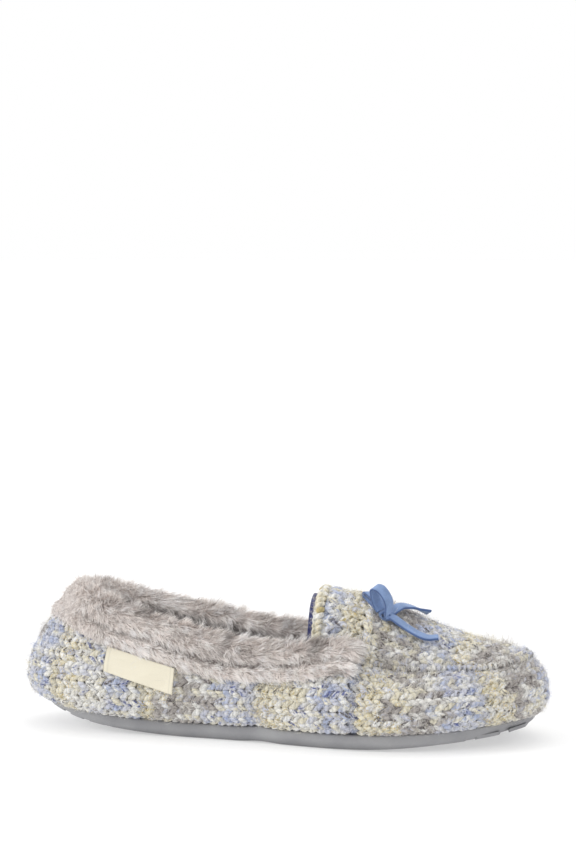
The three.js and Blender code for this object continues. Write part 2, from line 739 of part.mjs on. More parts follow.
// Fur cuff: a saddle over the collar's edge with locks joined to its pile side.
function cuffGeometry() {
  const places = cuffPlaces();
  const lines = places.map(cuffLines);
  const rings = lines.map(({ back, pile }) => [...back, ...pile.slice().reverse()]);
  let body = toManifold(loft(rings));
  const random = (k) => {
    const value = Math.sin(12.9898 * (k + 1)) * 43758.5453;
    return value - Math.floor(value);
  };
  for (let k = 0; k < LOCK_COUNT; k += 1) {
    const level = LOCK_ROWS[k % LOCK_ROWS.length];
    const spread = (k + 0.7 * random(k)) / LOCK_COUNT;
    const at = LOCK_MARGIN.start + spread * (lines.length - LOCK_MARGIN.both);
    const i = Math.floor(at);
    const share = at - i;
    if (level > LAST_OUTER_ROW && lines[i].open < 1) continue;
    const root = lines[i].pile[level].clone().lerp(lines[i + 1].pile[level], share);
    const base = lines[i].back[level].clone().lerp(lines[i + 1].back[level], share);
    const below = lines[i].pile[level - 1].clone().lerp(lines[i + 1].pile[level - 1], share);
    const out = root.clone().sub(base).normalize();
    const lay = below.sub(root).projectOnPlane(out).normalize();
    const forward = lines[i + 1].pile[level].clone().sub(lines[i].pile[level]).normalize();
    lay.addScaledVector(forward, 1.2 * (random(3 * k) - 0.5)).normalize();
    const width = LOCK_WIDTH * (0.8 + 0.4 * random(5 * k));
    const length = LOCK_LENGTH * (0.7 + 0.5 * random(7 * k));
    body = body.add(toManifold(lockGeometry(root, out, lay, width, length)));
  }
  // Pockets that locks close off over the crease are filled: only the outer skin is kept.
  const skins = body.decompose();
  return fromManifold(skins.reduce((largest, skin) => (skin.volume() > largest.volume() ? skin : largest)));
}

// Label: a strip that lies on the wall's outer face just below the cuff.
function labelGeometry() {
  const middle = (LABEL_AT - 0.5) * SOLE_LENGTH;
  const steps = 6;
  const rings = [];
  for (let i = 0; i <= steps; i += 1) {
    const x = middle + LABEL_LENGTH * (i / steps - 0.5);
    const wall = wallSection(placeAt(x, true));
    const leg = cuffLeg(wall.along) + CUFF_GAP;
    const top = downFace(wall, 'outer', leg);
    const half = downFace(wall, 'outer', leg + LABEL_HEIGHT / 2);
    const bottom = downFace(wall, 'outer', leg + LABEL_HEIGHT);
    const line = (lift) => [top, half, bottom].map(({ point, away }) => wall.place3d(
      point.clone().addScaledVector(away, lift),
    ));
    rings.push([...line(2 * FIT), ...line(2 * FIT + LABEL_THICKNESS).reverse()]);
  }
  return loft(rings);
}

// Height of the plug's upper surface at a length and a distance across.
function plugHeight(x, y) {
  const [near, far] = [plugEdge(placeAt(x, true)), plugEdge(placeAt(x, false))];
  const share = clamp(2 * (y - near.top.y) / (far.top.y - near.top.y) - 1, -1, 1);
  return plugPoint(near.top, far.top, share, 0).z;
}

// Flat ribbon along a smooth curve through its points. Its width lies along wide, turning from
// the first direction to the last.
function ribbonGeometry(points, wide, steps) {
  const curve = new THREE.CatmullRomCurve3(points);
  const rings = [];
  for (let i = 0; i <= steps; i += 1) {
    const t = i / steps;
    const centre = curve.getPoint(t);
    const ahead = curve.getTangent(t);
    const across = wide[0].clone().lerp(wide[1], t).projectOnPlane(ahead).normalize();
    const flat = ahead.clone().cross(across);
    rings.push([[1, 1], [-1, 1], [-1, -1], [1, -1]].map(([a, b]) => centre.clone()
      .addScaledVector(across, a * RIBBON_WIDTH / 2)
      .addScaledVector(flat, b * RIBBON_THICKNESS / 2)));
  }
  return loft(rings);
}

// Bow on the outer slope of the tongue. Its points are lengths from the knot: forward, across
// and up. Where a ribbon lies on the slipper, the last length is its height over the plug.
const KNOT = new THREE.Vector3(6.5, 6.5, 3.8);
const KNOT_SEAT = 3;
const BOW_AT = new THREE.Vector3(51, -16, 0);
BOW_AT.z = plugHeight(BOW_AT.x, BOW_AT.y) + KNOT_SEAT;
const BOW_RIBBONS = {
  bow_loop_near: {
    lies: false,
    points: [
      [-2.2, 0.3, 2.6], [-4.2, 0.2, 6.2], [-4.8, -1.5, 10.2], [-4.6, -2.9, 13.4],
      [-1.6, -4.4, 13.3], [1.3, -4.7, 10.1], [2.5, -3.7, 6.4], [2.1, -2.2, 2.6],
    ],
    wide: [[0.44, 0.83, 0.34], [0.44, 0.83, 0.34]],
  },
  bow_loop_far: {
    lies: true,
    points: [
      [-3.4, 3.2, 2.4], [-6.4, 6.6, 2], [-9.4, 10.2, 1.5], [-11.4, 12.8, 2.2],
      [-10.8, 12.2, 4.4], [-7.8, 8.8, 5], [-4.4, 5.4, 5.4],
    ],
    wide: [[0.75, 0.65, 0], [0.75, 0.65, 0]],
  },
  bow_tail_near: {
    lies: true,
    points: [[3.8, -0.5, 4.2], [9, -1, 3], [15, -1.4, 2], [20.4, -1.2, 1.7], [25.4, -0.2, 2.9]],
    wide: [[0.3, 0.95, 0.12], [0, 0.95, 0.2]],
  },
  bow_tail_far: {
    lies: true,
    points: [[2.4, 4, 2.8], [6, 8.2, 3.5], [10, 11.8, 3], [14.2, 14.4, 2.4], [17.8, 16.4, 2.2]],
    wide: [[-0.5, 0.7, 0.45], [0.3, 0.75, -0.45]],
  },
};
const LOOP_STEPS = 14;
const TAIL_STEPS = 8;

function bowRibbonGeometry({ points, wide, lies }) {
  const placed = points.map(([forward, across, up]) => {
    const x = BOW_AT.x + forward;
    const y = BOW_AT.y + across;
    return new THREE.Vector3(x, y, up + (lies ? plugHeight(x, y) : BOW_AT.z));
  });
  return ribbonGeometry(placed, wide.map((w) => new THREE.Vector3(...w)), lies ? TAIL_STEPS : LOOP_STEPS);
}

// Knot: a squat rounded block that the ribbons run into.
function knotGeometry() {
  const geometry = new THREE.SphereGeometry(0.5, 10, 6);
  geometry.scale(KNOT.x, KNOT.y, KNOT.z);
  geometry.rotateX(0.35);
  geometry.rotateY(0.3);
  geometry.translate(BOW_AT.x, BOW_AT.y, BOW_AT.z);
  return mergedGeometry(geometry);
}

const PAINTS = {
  rubber: { color: 0x949496, roughness: 0.75, metalness: 0 },
  lining: { color: 0x4a4c63, roughness: 0.95, metalness: 0 },
  knit: { color: 0xc9c6cf, roughness: 0.95, metalness: 0 },
  plugKnit: { color: 0xd8d4cc, roughness: 0.95, metalness: 0 },
  bindingKnit: { color: 0xe6dfc8, roughness: 0.95, metalness: 0 },
  navy: { color: 0x3c4170, roughness: 0.9, metalness: 0 },
  fur: { color: 0xcbc5c0, roughness: 1, metalness: 0 },
  tape: { color: 0xeee8d6, roughness: 0.85, metalness: 0 },
  suede: { color: 0x6a96cc, roughness: 0.95, metalness: 0 },
};

function piece(name, geometry, paint) {
  const mesh = new THREE.Mesh(geometry, new THREE.MeshStandardMaterial(PAINTS[paint]));
  mesh.name = name;
  return mesh;
}

const shoe = new THREE.Group();
shoe.add(piece('outsole', outsoleGeometry(), 'rubber'));
shoe.add(piece('insole', insoleGeometry(), 'lining'));
shoe.add(piece('upper', upperGeometry(), 'knit'));
shoe.add(piece('toe_plug', plugGeometry(), 'plugKnit'));
shoe.add(piece('tongue_binding', bindingGeometry(), 'bindingKnit'));
shoe.add(piece('tongue_facing', facingGeometry(), 'navy'));
shoe.add(piece('collar_cuff', cuffGeometry(), 'fur'));
shoe.add(piece('label', labelGeometry(), 'tape'));

// The origin is under the middle of the shoe, on the ground.
const bounds = new THREE.Box3().setFromObject(shoe);
const middle = bounds.getCenter(new THREE.Vector3());

shoe.add(piece('bow_knot', knotGeometry(), 'suede'));
for (const [name, ribbon] of Object.entries(BOW_RIBBONS)) {
  shoe.add(piece(name, bowRibbonGeometry(ribbon), 'suede'));
}
shoe.position.set(-middle.x, -middle.y, -bounds.min.z);

const slipper = new THREE.Group();
slipper.add(shoe);
export default slipper;
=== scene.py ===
"""Knitted moccasin slipper for the right foot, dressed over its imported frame.

Lengths are millimetres in the part's own axes until a mesh is made, which puts them in metres
in the row frame.
"""

import math

import bpy
import numpy as np
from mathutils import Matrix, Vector


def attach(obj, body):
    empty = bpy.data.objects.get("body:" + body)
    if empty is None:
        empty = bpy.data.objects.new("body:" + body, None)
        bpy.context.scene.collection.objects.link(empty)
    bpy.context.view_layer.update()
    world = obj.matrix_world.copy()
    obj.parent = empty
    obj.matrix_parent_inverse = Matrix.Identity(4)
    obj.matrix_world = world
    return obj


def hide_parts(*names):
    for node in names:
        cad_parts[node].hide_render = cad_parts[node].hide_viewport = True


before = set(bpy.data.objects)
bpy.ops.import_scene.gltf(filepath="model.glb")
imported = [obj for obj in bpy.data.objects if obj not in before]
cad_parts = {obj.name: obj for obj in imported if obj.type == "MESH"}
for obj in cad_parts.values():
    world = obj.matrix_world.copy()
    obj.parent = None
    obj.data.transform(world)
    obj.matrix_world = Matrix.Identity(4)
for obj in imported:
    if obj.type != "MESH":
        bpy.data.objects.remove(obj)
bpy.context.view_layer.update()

MM = 0.001
# From the source's axes to the row frame's origin.
SHIFT = np.array([2.4264, -0.2246, 0.0])

# Camera at the photograph's angle.
AZIMUTH = 13.99
ELEVATION = 9.366
DISTANCE = 1.22368
LENS = 158.44
SENSOR = 36.0
LOOKED_AT = Vector((0.0, 0.0, 0.035))
AIM = Vector((0.00246, 0.0, 0.1436))

# Sizes that the solids are made from.
SOLE_LENGTH = 240.0
BALL_WIDTH = 88.0
COLLAR_HEIGHT = 63.0
INSTEP_HEIGHT = 72.0
TOE_SPRING = 8.2
HEEL_SPRING = 10.5
ARCH_LIFT = 0.6
FIT = 0.3
SOLE_THICKNESS = 5.8
TOE_THIN = 3.0
HEEL_THIN = 4.5
LUG_HEIGHT = 1.5
LUG_PITCH = 12.5
GROOVE_WIDTH = 4.0
GROOVE_WAVE = 1.6
SIDE_STEP = 0.7
TURN_IN = 0.35
WALL = 3.5
WALL_INSET = 1.0
SEAM_BEAD = 2.0
SEAM_WIDTH = 5.2
TONGUE_TUCK = 7.0
TONGUE_DROP = 8.0
TONGUE_TURN = 4.0
BINDING_RADIUS = 2.1
FACING_PROUD = 3.5
SHEET_GAP = 0.7
CUFF_GAP = 0.5
CUFF_DEPTH = 6.2
CUFF_INSIDE = 18.0
CUFF_SLIM = 0.4
CUFF_BACK_OFF = 3.0
LABEL_LENGTH = 34.0
LABEL_HEIGHT = 12.0
LABEL_THICKNESS = 0.9
LABEL_MIDDLE = -0.262
RIBBON_WIDTH = 6.0
RIBBON_THICKNESS = 1.2
FOOT_BEND = 0.05
THROAT = 0.675
TONGUE_END = 0.575

# Outline of the sole: along, out.
OUTLINE = np.array([
    (0.0, 0.0), (0.045, -0.22), (0.14, -0.335), (0.3, -0.36), (0.45, -0.4), (0.62, -0.485),
    (0.75, -0.49), (0.88, -0.36), (0.965, -0.16), (1.0, 0.06), (0.965, 0.27), (0.88, 0.42),
    (0.74, 0.51), (0.6, 0.45), (0.45, 0.36), (0.3, 0.335), (0.14, 0.335), (0.045, 0.22),
])
TOE_AT = 9.0
ROUND = float(len(OUTLINE))

# Knitted wall: along, outer, inner, low, high, shoulder, lean.
WALL_ROWS = np.array([
    (0.0, 1.055, 1.055, 0.255, 0.045, 0.69, 0.183),
    (0.05, 1.035, 1.035, 0.24, 0.045, 0.69, 0.172),
    (0.14, 0.94, 0.965, 0.195, 0.045, 0.7, 0.14),
    (0.24, 0.835, 0.88, 0.15, 0.04, 0.71, 0.1),
    (0.34, 0.745, 0.8, 0.12, 0.035, 0.73, 0.08),
    (0.44, 0.685, 0.73, 0.105, 0.035, 0.76, 0.08),
    (0.53, 0.68, 0.715, 0.1, 0.04, 0.79, 0.095),
    (0.61, 0.71, 0.73, 0.1, 0.05, 0.82, 0.125),
    (0.655, 0.72, 0.73, 0.1, 0.058, 0.84, 0.15),
    (0.695, 0.6, 0.61, 0.1, 0.068, 0.87, 0.175),
    (0.74, 0.555, 0.56, 0.1, 0.068, 0.87, 0.185),
    (0.81, 0.548, 0.55, 0.1, 0.067, 0.87, 0.165),
    (0.88, 0.556, 0.556, 0.1, 0.066, 0.87, 0.135),
    (0.93, 0.558, 0.558, 0.1, 0.068, 0.86, 0.09),
    (0.965, 0.575, 0.575, 0.095, 0.07, 0.86, 0.06),
    (1.0, 0.605, 0.605, 0.085, 0.07, 0.85, 0.035),
])

# Spine of the plug and tongue: along, height, full.
CROWN_ROWS = np.array([
    (0.52, 0.99, 0.55),
    (0.575, 0.98, 0.55),
    (0.65, 0.942, 0.6),
    (0.729, 0.852, 0.7),
    (0.804, 0.748, 0.75),
    (0.888, 0.664, 0.85),
    (0.929, 0.632, 0.95),
    (0.971, 0.594, 1.0),
    (0.996, 0.542, 1.0),
])

# Outer leg of the cuff: along, leg.
CUFF_LEG_ROWS = np.array([
    (0.0, 0.3), (0.14, 0.31), (0.24, 0.29), (0.34, 0.28), (0.5, 0.26), (0.66, 0.26),
])

# Fold of the cuff: face, reach, deep.
CUFF_FOLD = [
    ("outer", 1.0, 0.3), ("outer", 0.84, 0.8), ("outer", 0.58, 0.6), ("outer", 0.32, 1.0),
    ("outer", 0.0, 1.05), ("edge", 0.5, 1.0), ("inner", 0.0, 0.85), ("inner", 0.5, 0.7),
    ("inner", 1.0, 0.3),
]

# Yarn colours as seen, in 8-bit sRGB.
CREAM = (237, 231, 211)
GOLD = (200, 185, 138)
WHITE = (246, 245, 241)
LAVENDER = (214, 216, 228)
PALE_BLUE = (188, 197, 222)
DEEP_BLUE = (84, 97, 156)
GREY = (186, 180, 176)
SHADE = (104, 98, 98)

# Knit: stitch sizes, yarn radius and the depth that the loops pass over each other.
WALE = 6.4
COURSE = 3.9
STITCH_STEPS = 14
YARN = 1.5
LOOP_BEND = 1.85
LOOP_REACH = 3.1
LOOP_DEPTH = 0.95
LOOP_PAIR = 0.2
KNIT_SINK = 1.3
PLUG_SINK = 2.0

# Lengths on the outer side where a colour repeat begins, then its bands: where the cream ends,
# where the middle band ends, and what the middle band is.
REPEAT_STARTS = [-105.0, -63.5, -5.7, 42.6, 99.0]
REPEAT = 52.0
BANDS = [
    (0.26, 0.64, "white"), (0.23, 0.62, "grey"), (0.37, 0.58, "white"), (0.3, 0.66, "grey"),
    (0.26, 0.6, "grey"),
]
# Plies of each band: the main tones, the second tones, and how much metallic strand they carry.
MIXES = {
    "cream": ([(CREAM, 0.6), (WHITE, 0.26), (LAVENDER, 0.14)],
              [(GOLD, 0.34), (WHITE, 0.22), (LAVENDER, 0.18), (SHADE, 0.14), (GREY, 0.12)], 0.6),
    "white": ([(WHITE, 0.54), (CREAM, 0.32), (LAVENDER, 0.14)],
              [(LAVENDER, 0.3), (CREAM, 0.24), (GREY, 0.2), (SHADE, 0.12), (DEEP_BLUE, 0.14)], 0.15),
    "grey": ([(GREY, 0.66), (WHITE, 0.22), (CREAM, 0.12)],
             [(WHITE, 0.3), (SHADE, 0.42), (LAVENDER, 0.28)], 0.05),
    "lavender": ([(LAVENDER, 0.4), (WHITE, 0.3), (PALE_BLUE, 0.16), (CREAM, 0.14)],
                 [(PALE_BLUE, 0.26), (DEEP_BLUE, 0.2), (WHITE, 0.2), (CREAM, 0.2), (SHADE, 0.14)], 0.15),
}

KINDS = tuple(MIXES)
GREY_YARN = KINDS.index("grey")

RANDOM = np.random.default_rng(41)


def linear(rgb):
    """8-bit sRGB as linear light."""
    value = np.asarray(rgb, dtype=float) / 255.0
    return np.where(value <= 0.04045, value / 12.92, ((value + 0.055) / 1.055) ** 2.4)


def unit(vectors):
    return vectors / np.maximum(np.linalg.norm(vectors, axis=-1, keepdims=True), 1e-9)


def smooth(value, low, high):
    share = np.clip((value - low) / (high - low), 0.0, 1.0)
    return share * share * (3.0 - 2.0 * share)


def run_length(path):
    """Length passed at each point of a line."""
    return np.concatenate([[0], np.cumsum(np.linalg.norm(np.diff(path, axis=0), axis=1))])


def eased_shares(count):
    """Shares from -1 to 1 that crowd towards both ends."""
    return np.sin(np.pi / 2 * np.linspace(-1, 1, count))


def scatter(*keys):
    """A repeatable number from 0 to 1 for each set of keys."""
    total = sum(np.asarray(key, dtype=float) * factor
                for key, factor in zip(keys, (12.9898, 78.233, 37.719, 53.11)))
    value = np.sin(total) * 43758.5453
    return value - np.floor(value)


def noise(points, size, seed=0.0):
    """Smooth noise from -1 to 1 over 3-D points, with blobs of the given size."""
    at = np.asarray(points, dtype=float) / size
    cell = np.floor(at)
    part = at - cell
    part = part * part * (3.0 - 2.0 * part)
    total = np.zeros(at.shape[:-1])
    for corner in range(8):
        step = np.array([corner & 1, (corner >> 1) & 1, (corner >> 2) & 1])
        weight = np.prod(np.where(step == 1, part, 1.0 - part), axis=-1)
        key = cell + step
        total += weight * scatter(key[..., 0], key[..., 1], key[..., 2], seed + 1.0)
    return 2.0 * total - 1.0


def through(rows, column, at):
    """Smooth curve through one column of a table, as the solids use it."""
    xs = rows[:, 0]
    ys = rows[:, column]
    last = len(xs) - 1
    back = np.maximum(np.arange(last + 1) - 1, 0)
    front = np.minimum(np.arange(last + 1) + 1, last)
    slopes = (ys[front] - ys[back]) / (xs[front] - xs[back])
    place = np.clip(at, xs[0], xs[last])
    i = np.clip(np.searchsorted(xs, place, side="left") - 1, 0, last - 1)
    span = xs[i + 1] - xs[i]
    t = (place - xs[i]) / span
    t2 = t * t
    t3 = t2 * t
    return ((2 * t3 - 3 * t2 + 1) * ys[i] + (t3 - 2 * t2 + t) * span * slopes[i]
            + (3 * t2 - 2 * t3) * ys[i + 1] + (t3 - t2) * span * slopes[i + 1])


HEEL_RISE_X = -0.16 * SOLE_LENGTH
TOE_RISE_X = 0.11 * SOLE_LENGTH


def toe_share(x):
    return np.maximum(x - TOE_RISE_X, 0) / (SOLE_LENGTH / 2 - TOE_RISE_X)


def heel_share(x):
    return np.maximum(HEEL_RISE_X - x, 0) / (SOLE_LENGTH / 2 + HEEL_RISE_X)


def sole_lift(x):
    """Height of the sole's underside: a low arch between two flats, and curves up to both ends."""
    arch_back = -0.07 * SOLE_LENGTH
    arch_front = 0.03 * SOLE_LENGTH
    share = np.clip((x - arch_back) / (arch_front - arch_back), 0, 1)
    ends = HEEL_SPRING * heel_share(x) ** 2 + TOE_SPRING * toe_share(x) ** 2
    return ends + ARCH_LIFT * np.sin(np.pi * share) ** 2


def sole_height(x):
    thin = TOE_THIN * toe_share(x) ** 2 + HEEL_THIN * heel_share(x) ** 2
    return LUG_HEIGHT + SOLE_THICKNESS - thin


def sole_top(x):
    return sole_lift(x) + sole_height(x)


def outline_at(place):
    """x, y and the outward direction of the sole's outline, at places counted in rows."""
    place = np.asarray(place, dtype=float)
    count = len(OUTLINE)

    def point(at):
        i = np.floor(at).astype(int)
        t = (at - i)[..., None]
        a, b, c, d = (OUTLINE[(i + k) % count] for k in (-1, 0, 1, 2))
        value = b + 0.5 * t * (c - a + t * (2 * a - 5 * b + 4 * c - d + t * (3 * (b - c) + d - a)))
        return value * (SOLE_LENGTH, BALL_WIDTH) - (SOLE_LENGTH / 2, 0)

    here = point(place)
    ahead = unit(point(place + 0.01) - point(place - 0.01))
    return here[..., 0], here[..., 1], ahead[..., 1], -ahead[..., 0]


FINE_PLACES = np.linspace(0, ROUND, 3601)
FINE_X, FINE_Y, _, _ = outline_at(FINE_PLACES)
FINE_LENGTH = np.concatenate([[0], np.cumsum(np.hypot(np.diff(FINE_X), np.diff(FINE_Y)))])
GIRTH = FINE_LENGTH[-1]
OUTER = FINE_PLACES <= TOE_AT
INNER = FINE_PLACES >= TOE_AT


def place_at_length(length):
    return np.interp(np.mod(length, GIRTH), FINE_LENGTH, FINE_PLACES)


def outer_place(x):
    return np.interp(x, np.maximum.accumulate(FINE_X[OUTER]), FINE_PLACES[OUTER])


def inner_place(x):
    return np.interp(x, np.maximum.accumulate(FINE_X[INNER][::-1]), FINE_PLACES[INNER][::-1])


def length_at_outer(x):
    return np.interp(outer_place(x), FINE_PLACES, FINE_LENGTH)


def length_at_inner(x):
    return np.interp(inner_place(x), FINE_PLACES, FINE_LENGTH)


def cuff_leg(x):
    """Length of the cuff's outer leg at a length along the sole."""
    return float(through(CUFF_LEG_ROWS, 1, x / SOLE_LENGTH + 0.5)) * COLLAR_HEIGHT


def wall_point(place, t, off=0.0):
    """Point of the knitted wall, with its outward normal and the direction up its section."""
    place, t, off = np.broadcast_arrays(*(np.asarray(v, dtype=float) for v in (place, t, off)))
    x, y, nx, ny = outline_at(place)
    along = x / SOLE_LENGTH + 0.5
    foot = sole_top(x) + FIT
    outer, inner, low, high, shoulder, lean = (through(WALL_ROWS, k, along) for k in range(1, 7))
    rise = np.where(np.mod(place, ROUND) <= TOE_AT, outer, inner) * COLLAR_HEIGHT - foot
    outs = [np.full_like(x, -WALL_INSET), low * BALL_WIDTH, high * BALL_WIDTH, -lean * BALL_WIDTH]
    ups = [np.zeros_like(x), FOOT_BEND * rise, shoulder * rise, rise]
    u = 1 - t
    weights = [u ** 3, 3 * u * u * t, 3 * u * t * t, t ** 3]
    out = sum(w * p for w, p in zip(weights, outs))
    up = sum(w * p for w, p in zip(weights, ups))
    slopes = [3 * u * u, 6 * u * t, 3 * t * t]
    d_out = sum(w * (outs[k + 1] - outs[k]) for k, w in enumerate(slopes))
    d_up = sum(w * (ups[k + 1] - ups[k]) for k, w in enumerate(slopes))
    size = np.maximum(np.hypot(d_out, d_up), 1e-9)
    d_out = d_out / size
    d_up = d_up / size
    normal = np.stack([nx * d_up, ny * d_up, -d_out], axis=-1)
    rising = np.stack([nx * d_out, ny * d_out, d_up], axis=-1)
    point = np.stack([x + nx * out, y + ny * out, foot + up], axis=-1)
    return point + normal * off[..., None], normal, rising


SHARES = np.linspace(0, 1, 61)


def arc_table(place):
    """Length up the wall at SHARES of its curve."""
    line, _, _ = wall_point(place, SHARES)
    return run_length(line)


THROAT_X = (THROAT - 0.5) * SOLE_LENGTH
TONGUE_X = (TONGUE_END - 0.5) * SOLE_LENGTH


def plug_edge(place):
    point, _, rising = wall_point(place, np.ones_like(place))
    x, _, nx, ny = outline_at(place)
    tuck = smooth(THROAT_X - x, 0, TONGUE_TURN)
    drop = np.stack([-nx * TONGUE_TUCK * tuck, -ny * TONGUE_TUCK * tuck, -TONGUE_DROP * tuck], axis=-1)
    return point + rising * FIT + drop


def plug_point(x, share, bead=SEAM_BEAD):
    """Point of the plug and tongue: x is the outline's length, share runs from -1 to 1 across."""
    x, share = np.broadcast_arrays(np.asarray(x, dtype=float), np.asarray(share, dtype=float))
    near = plug_edge(outer_place(x))
    far = plug_edge(inner_place(x))
    half = np.linalg.norm(near - far, axis=-1) / 2
    point = near + (far - near) * ((share + 1) / 2)[..., None]
    along = point[..., 0] / SOLE_LENGTH + 0.5
    base = (near[..., 2] + far[..., 2]) / 2
    crown = through(CROWN_ROWS, 1, along) * INSTEP_HEIGHT
    full = through(CROWN_ROWS, 2, along)
    rise = np.maximum(crown - base, 0) * smooth(half, 0, SEAM_WIDTH)
    height = rise * np.maximum(1 - share * share, 0) ** full
    from_edge = (1 - np.abs(share)) * half
    beaded = np.where(x >= THROAT_X, bead, 0.0)
    height = height + np.where(from_edge < SEAM_WIDTH,
                               beaded * np.sin(np.pi * np.clip(from_edge / SEAM_WIDTH, 0, 1)), 0)
    point = point.copy()
    point[..., 2] += height
    return point


def plug_frame(x, share, off=0.0, bead=SEAM_BEAD):
    point = plug_point(x, share, bead)
    inside = np.clip(share, -0.985, 0.985)
    across = plug_point(x, inside + 0.012, bead) - plug_point(x, inside - 0.012, bead)
    along = plug_point(x + 0.6, inside, bead) - plug_point(x - 0.6, inside, bead)
    normal = unit(np.cross(along, across))
    normal = np.where(normal[..., 2:3] < 0, -normal, normal)
    return point + normal * np.asarray(off)[..., None], normal


# Mesh and material helpers.

def build(name, points, quads=(), tris=(), paint=None, uv=None, extra=None, second=None):
    """Mesh object in the row frame from millimetre points."""
    quads = np.asarray(quads, dtype=np.int32).reshape(-1, 4)
    tris = np.asarray(tris, dtype=np.int32).reshape(-1, 3)
    loops = np.concatenate([quads.ravel(), tris.ravel()])
    counts = np.concatenate([np.full(len(quads), 4), np.full(len(tris), 3)])
    starts = np.concatenate([[0], np.cumsum(counts)[:-1]]).astype(np.int32)
    mesh = bpy.data.meshes.new(name)
    mesh.vertices.add(len(points))
    mesh.vertices.foreach_set("co", ((np.asarray(points) + SHIFT) * MM).astype(np.float32).ravel())
    mesh.loops.add(len(loops))
    mesh.loops.foreach_set("vertex_index", loops)
    mesh.polygons.add(len(counts))
    mesh.polygons.foreach_set("loop_start", starts)
    mesh.polygons.foreach_set("use_smooth", np.ones(len(counts), dtype=bool))
    mesh.update(calc_edges=True)
    for label, tones in (("paint", paint), ("second", second)):
        if tones is None:
            continue
        layer = mesh.color_attributes.new(label, "FLOAT_COLOR", "POINT")
        full = np.concatenate([tones, np.ones((len(tones), 1))], axis=1)
        layer.data.foreach_set("color", full.astype(np.float32).ravel())
    if extra is not None:
        layer = mesh.attributes.new("lurex", "FLOAT", "POINT")
        layer.data.foreach_set("value", np.asarray(extra, dtype=np.float32))
    if uv is not None:
        layer = mesh.uv_layers.new(name="yarn")
        layer.data.foreach_set("uv", np.asarray(uv, dtype=np.float32)[loops].ravel())
    piece = bpy.data.objects.new(name, mesh)
    bpy.context.scene.collection.objects.link(piece)
    return piece


def finish_piece(piece, material, slot, *replaced):
    piece.data.materials.append(material)
    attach(piece, "root")
    if replaced:
        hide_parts(*replaced)
    return piece


def grid_quads(rows, columns, wrap_rows=False, wrap_columns=False):
    r = np.arange(rows if wrap_rows else rows - 1)
    c = np.arange(columns if wrap_columns else columns - 1)
    r, c = np.meshgrid(r, c, indexing="ij")
    r2 = (r + 1) % rows
    c2 = (c + 1) % columns
    return np.stack([r * columns + c, r * columns + c2, r2 * columns + c2, r2 * columns + c],
                    axis=-1).reshape(-1, 4)


def closed_sheet(top, under):
    """Points and quads of a sheet with two faces, closed at its sides and at both ends."""
    ring = np.concatenate([top, under[:, ::-1]], axis=1)
    rows, size = ring.shape[:2]
    caps = [[base + k, base + k + 1, base + size - 2 - k, base + size - 1 - k]
            for base in (0, (rows - 1) * size) for k in range(size // 2 - 1)]
    quads = np.concatenate([grid_quads(rows, size, wrap_columns=True), np.array(caps)])
    return ring.reshape(-1, 3), quads


def across_ring(ring, columns):
    """Grid of points from one side of a closed line over to the other, and its quads."""
    steps = len(ring) // 2
    near = ring[:steps + 1]
    far = np.concatenate([ring[:1], ring[::-1][:steps]])
    shares = np.linspace(0, 1, columns)[None, :, None]
    return near[:, None] * (1 - shares) + far[:, None] * shares, grid_quads(steps + 1, columns)


def tube(path, normals, radius, ring=7, flat=0.9):
    """Tube along a path: points, quads and UVs of length along in mm and share round."""
    tangent = unit(np.gradient(path, axis=0))
    side = unit(np.cross(normals, tangent))
    out = unit(np.cross(tangent, side))
    angle = 2 * np.pi * np.arange(ring) / ring
    radius = np.broadcast_to(np.asarray(radius, dtype=float), (len(path),))[:, None, None]
    points = (path[:, None] + radius * (np.cos(angle)[None, :, None] * side[:, None]
                                        + flat * np.sin(angle)[None, :, None] * out[:, None]))
    length = run_length(path)
    u = np.repeat(length[:, None], ring, axis=1)
    v = np.repeat((np.arange(ring) / ring)[None], len(path), axis=0)
    return points.reshape(-1, 3), grid_quads(len(path), ring, wrap_columns=True), np.stack(
        [u, v], axis=-1).reshape(-1, 2)


class Parts:
    """Collects tubes or sheets that become one mesh."""

    def __init__(self):
        self.points, self.quads, self.uv = [], [], []
        self.paint, self.second, self.extra = [], [], []
        self.count = 0

    def add(self, points, quads, uv=None, paint=None, second=None, extra=None):
        self.quads.append(quads + self.count)
        self.points.append(points)
        self.uv.append(np.zeros((len(points), 2)) if uv is None else uv)
        paint = np.ones((len(points), 3)) if paint is None else paint
        self.paint.append(paint)
        self.second.append(paint if second is None else second)
        self.extra.append(np.zeros(len(points)) if extra is None else extra)
        self.count += len(points)

    def add_yarn(self, path, out, radius, start, colours, tone, ring=7, flat=0.9):
        """Tube of plied yarn. Its colours are the main ply, the second ply and the metallic share; the
        tone scales them, and carries painted shade where the caller gives it.
        """
        points, quads, uv = tube(path, out, radius, ring, flat)
        uv[:, 0] += start
        main, second, lurex = colours
        self.add(points, quads, uv, np.repeat(main * tone, ring, axis=0),
                 np.repeat(second * tone, ring, axis=0), np.repeat(lurex, ring))

    def build(self, name):
        points, quads, paint, uv, extra, second = (
            np.concatenate(values)
            for values in (self.points, self.quads, self.paint, self.uv, self.extra, self.second))
        return build(name, points, quads, (), paint, uv, extra, second)


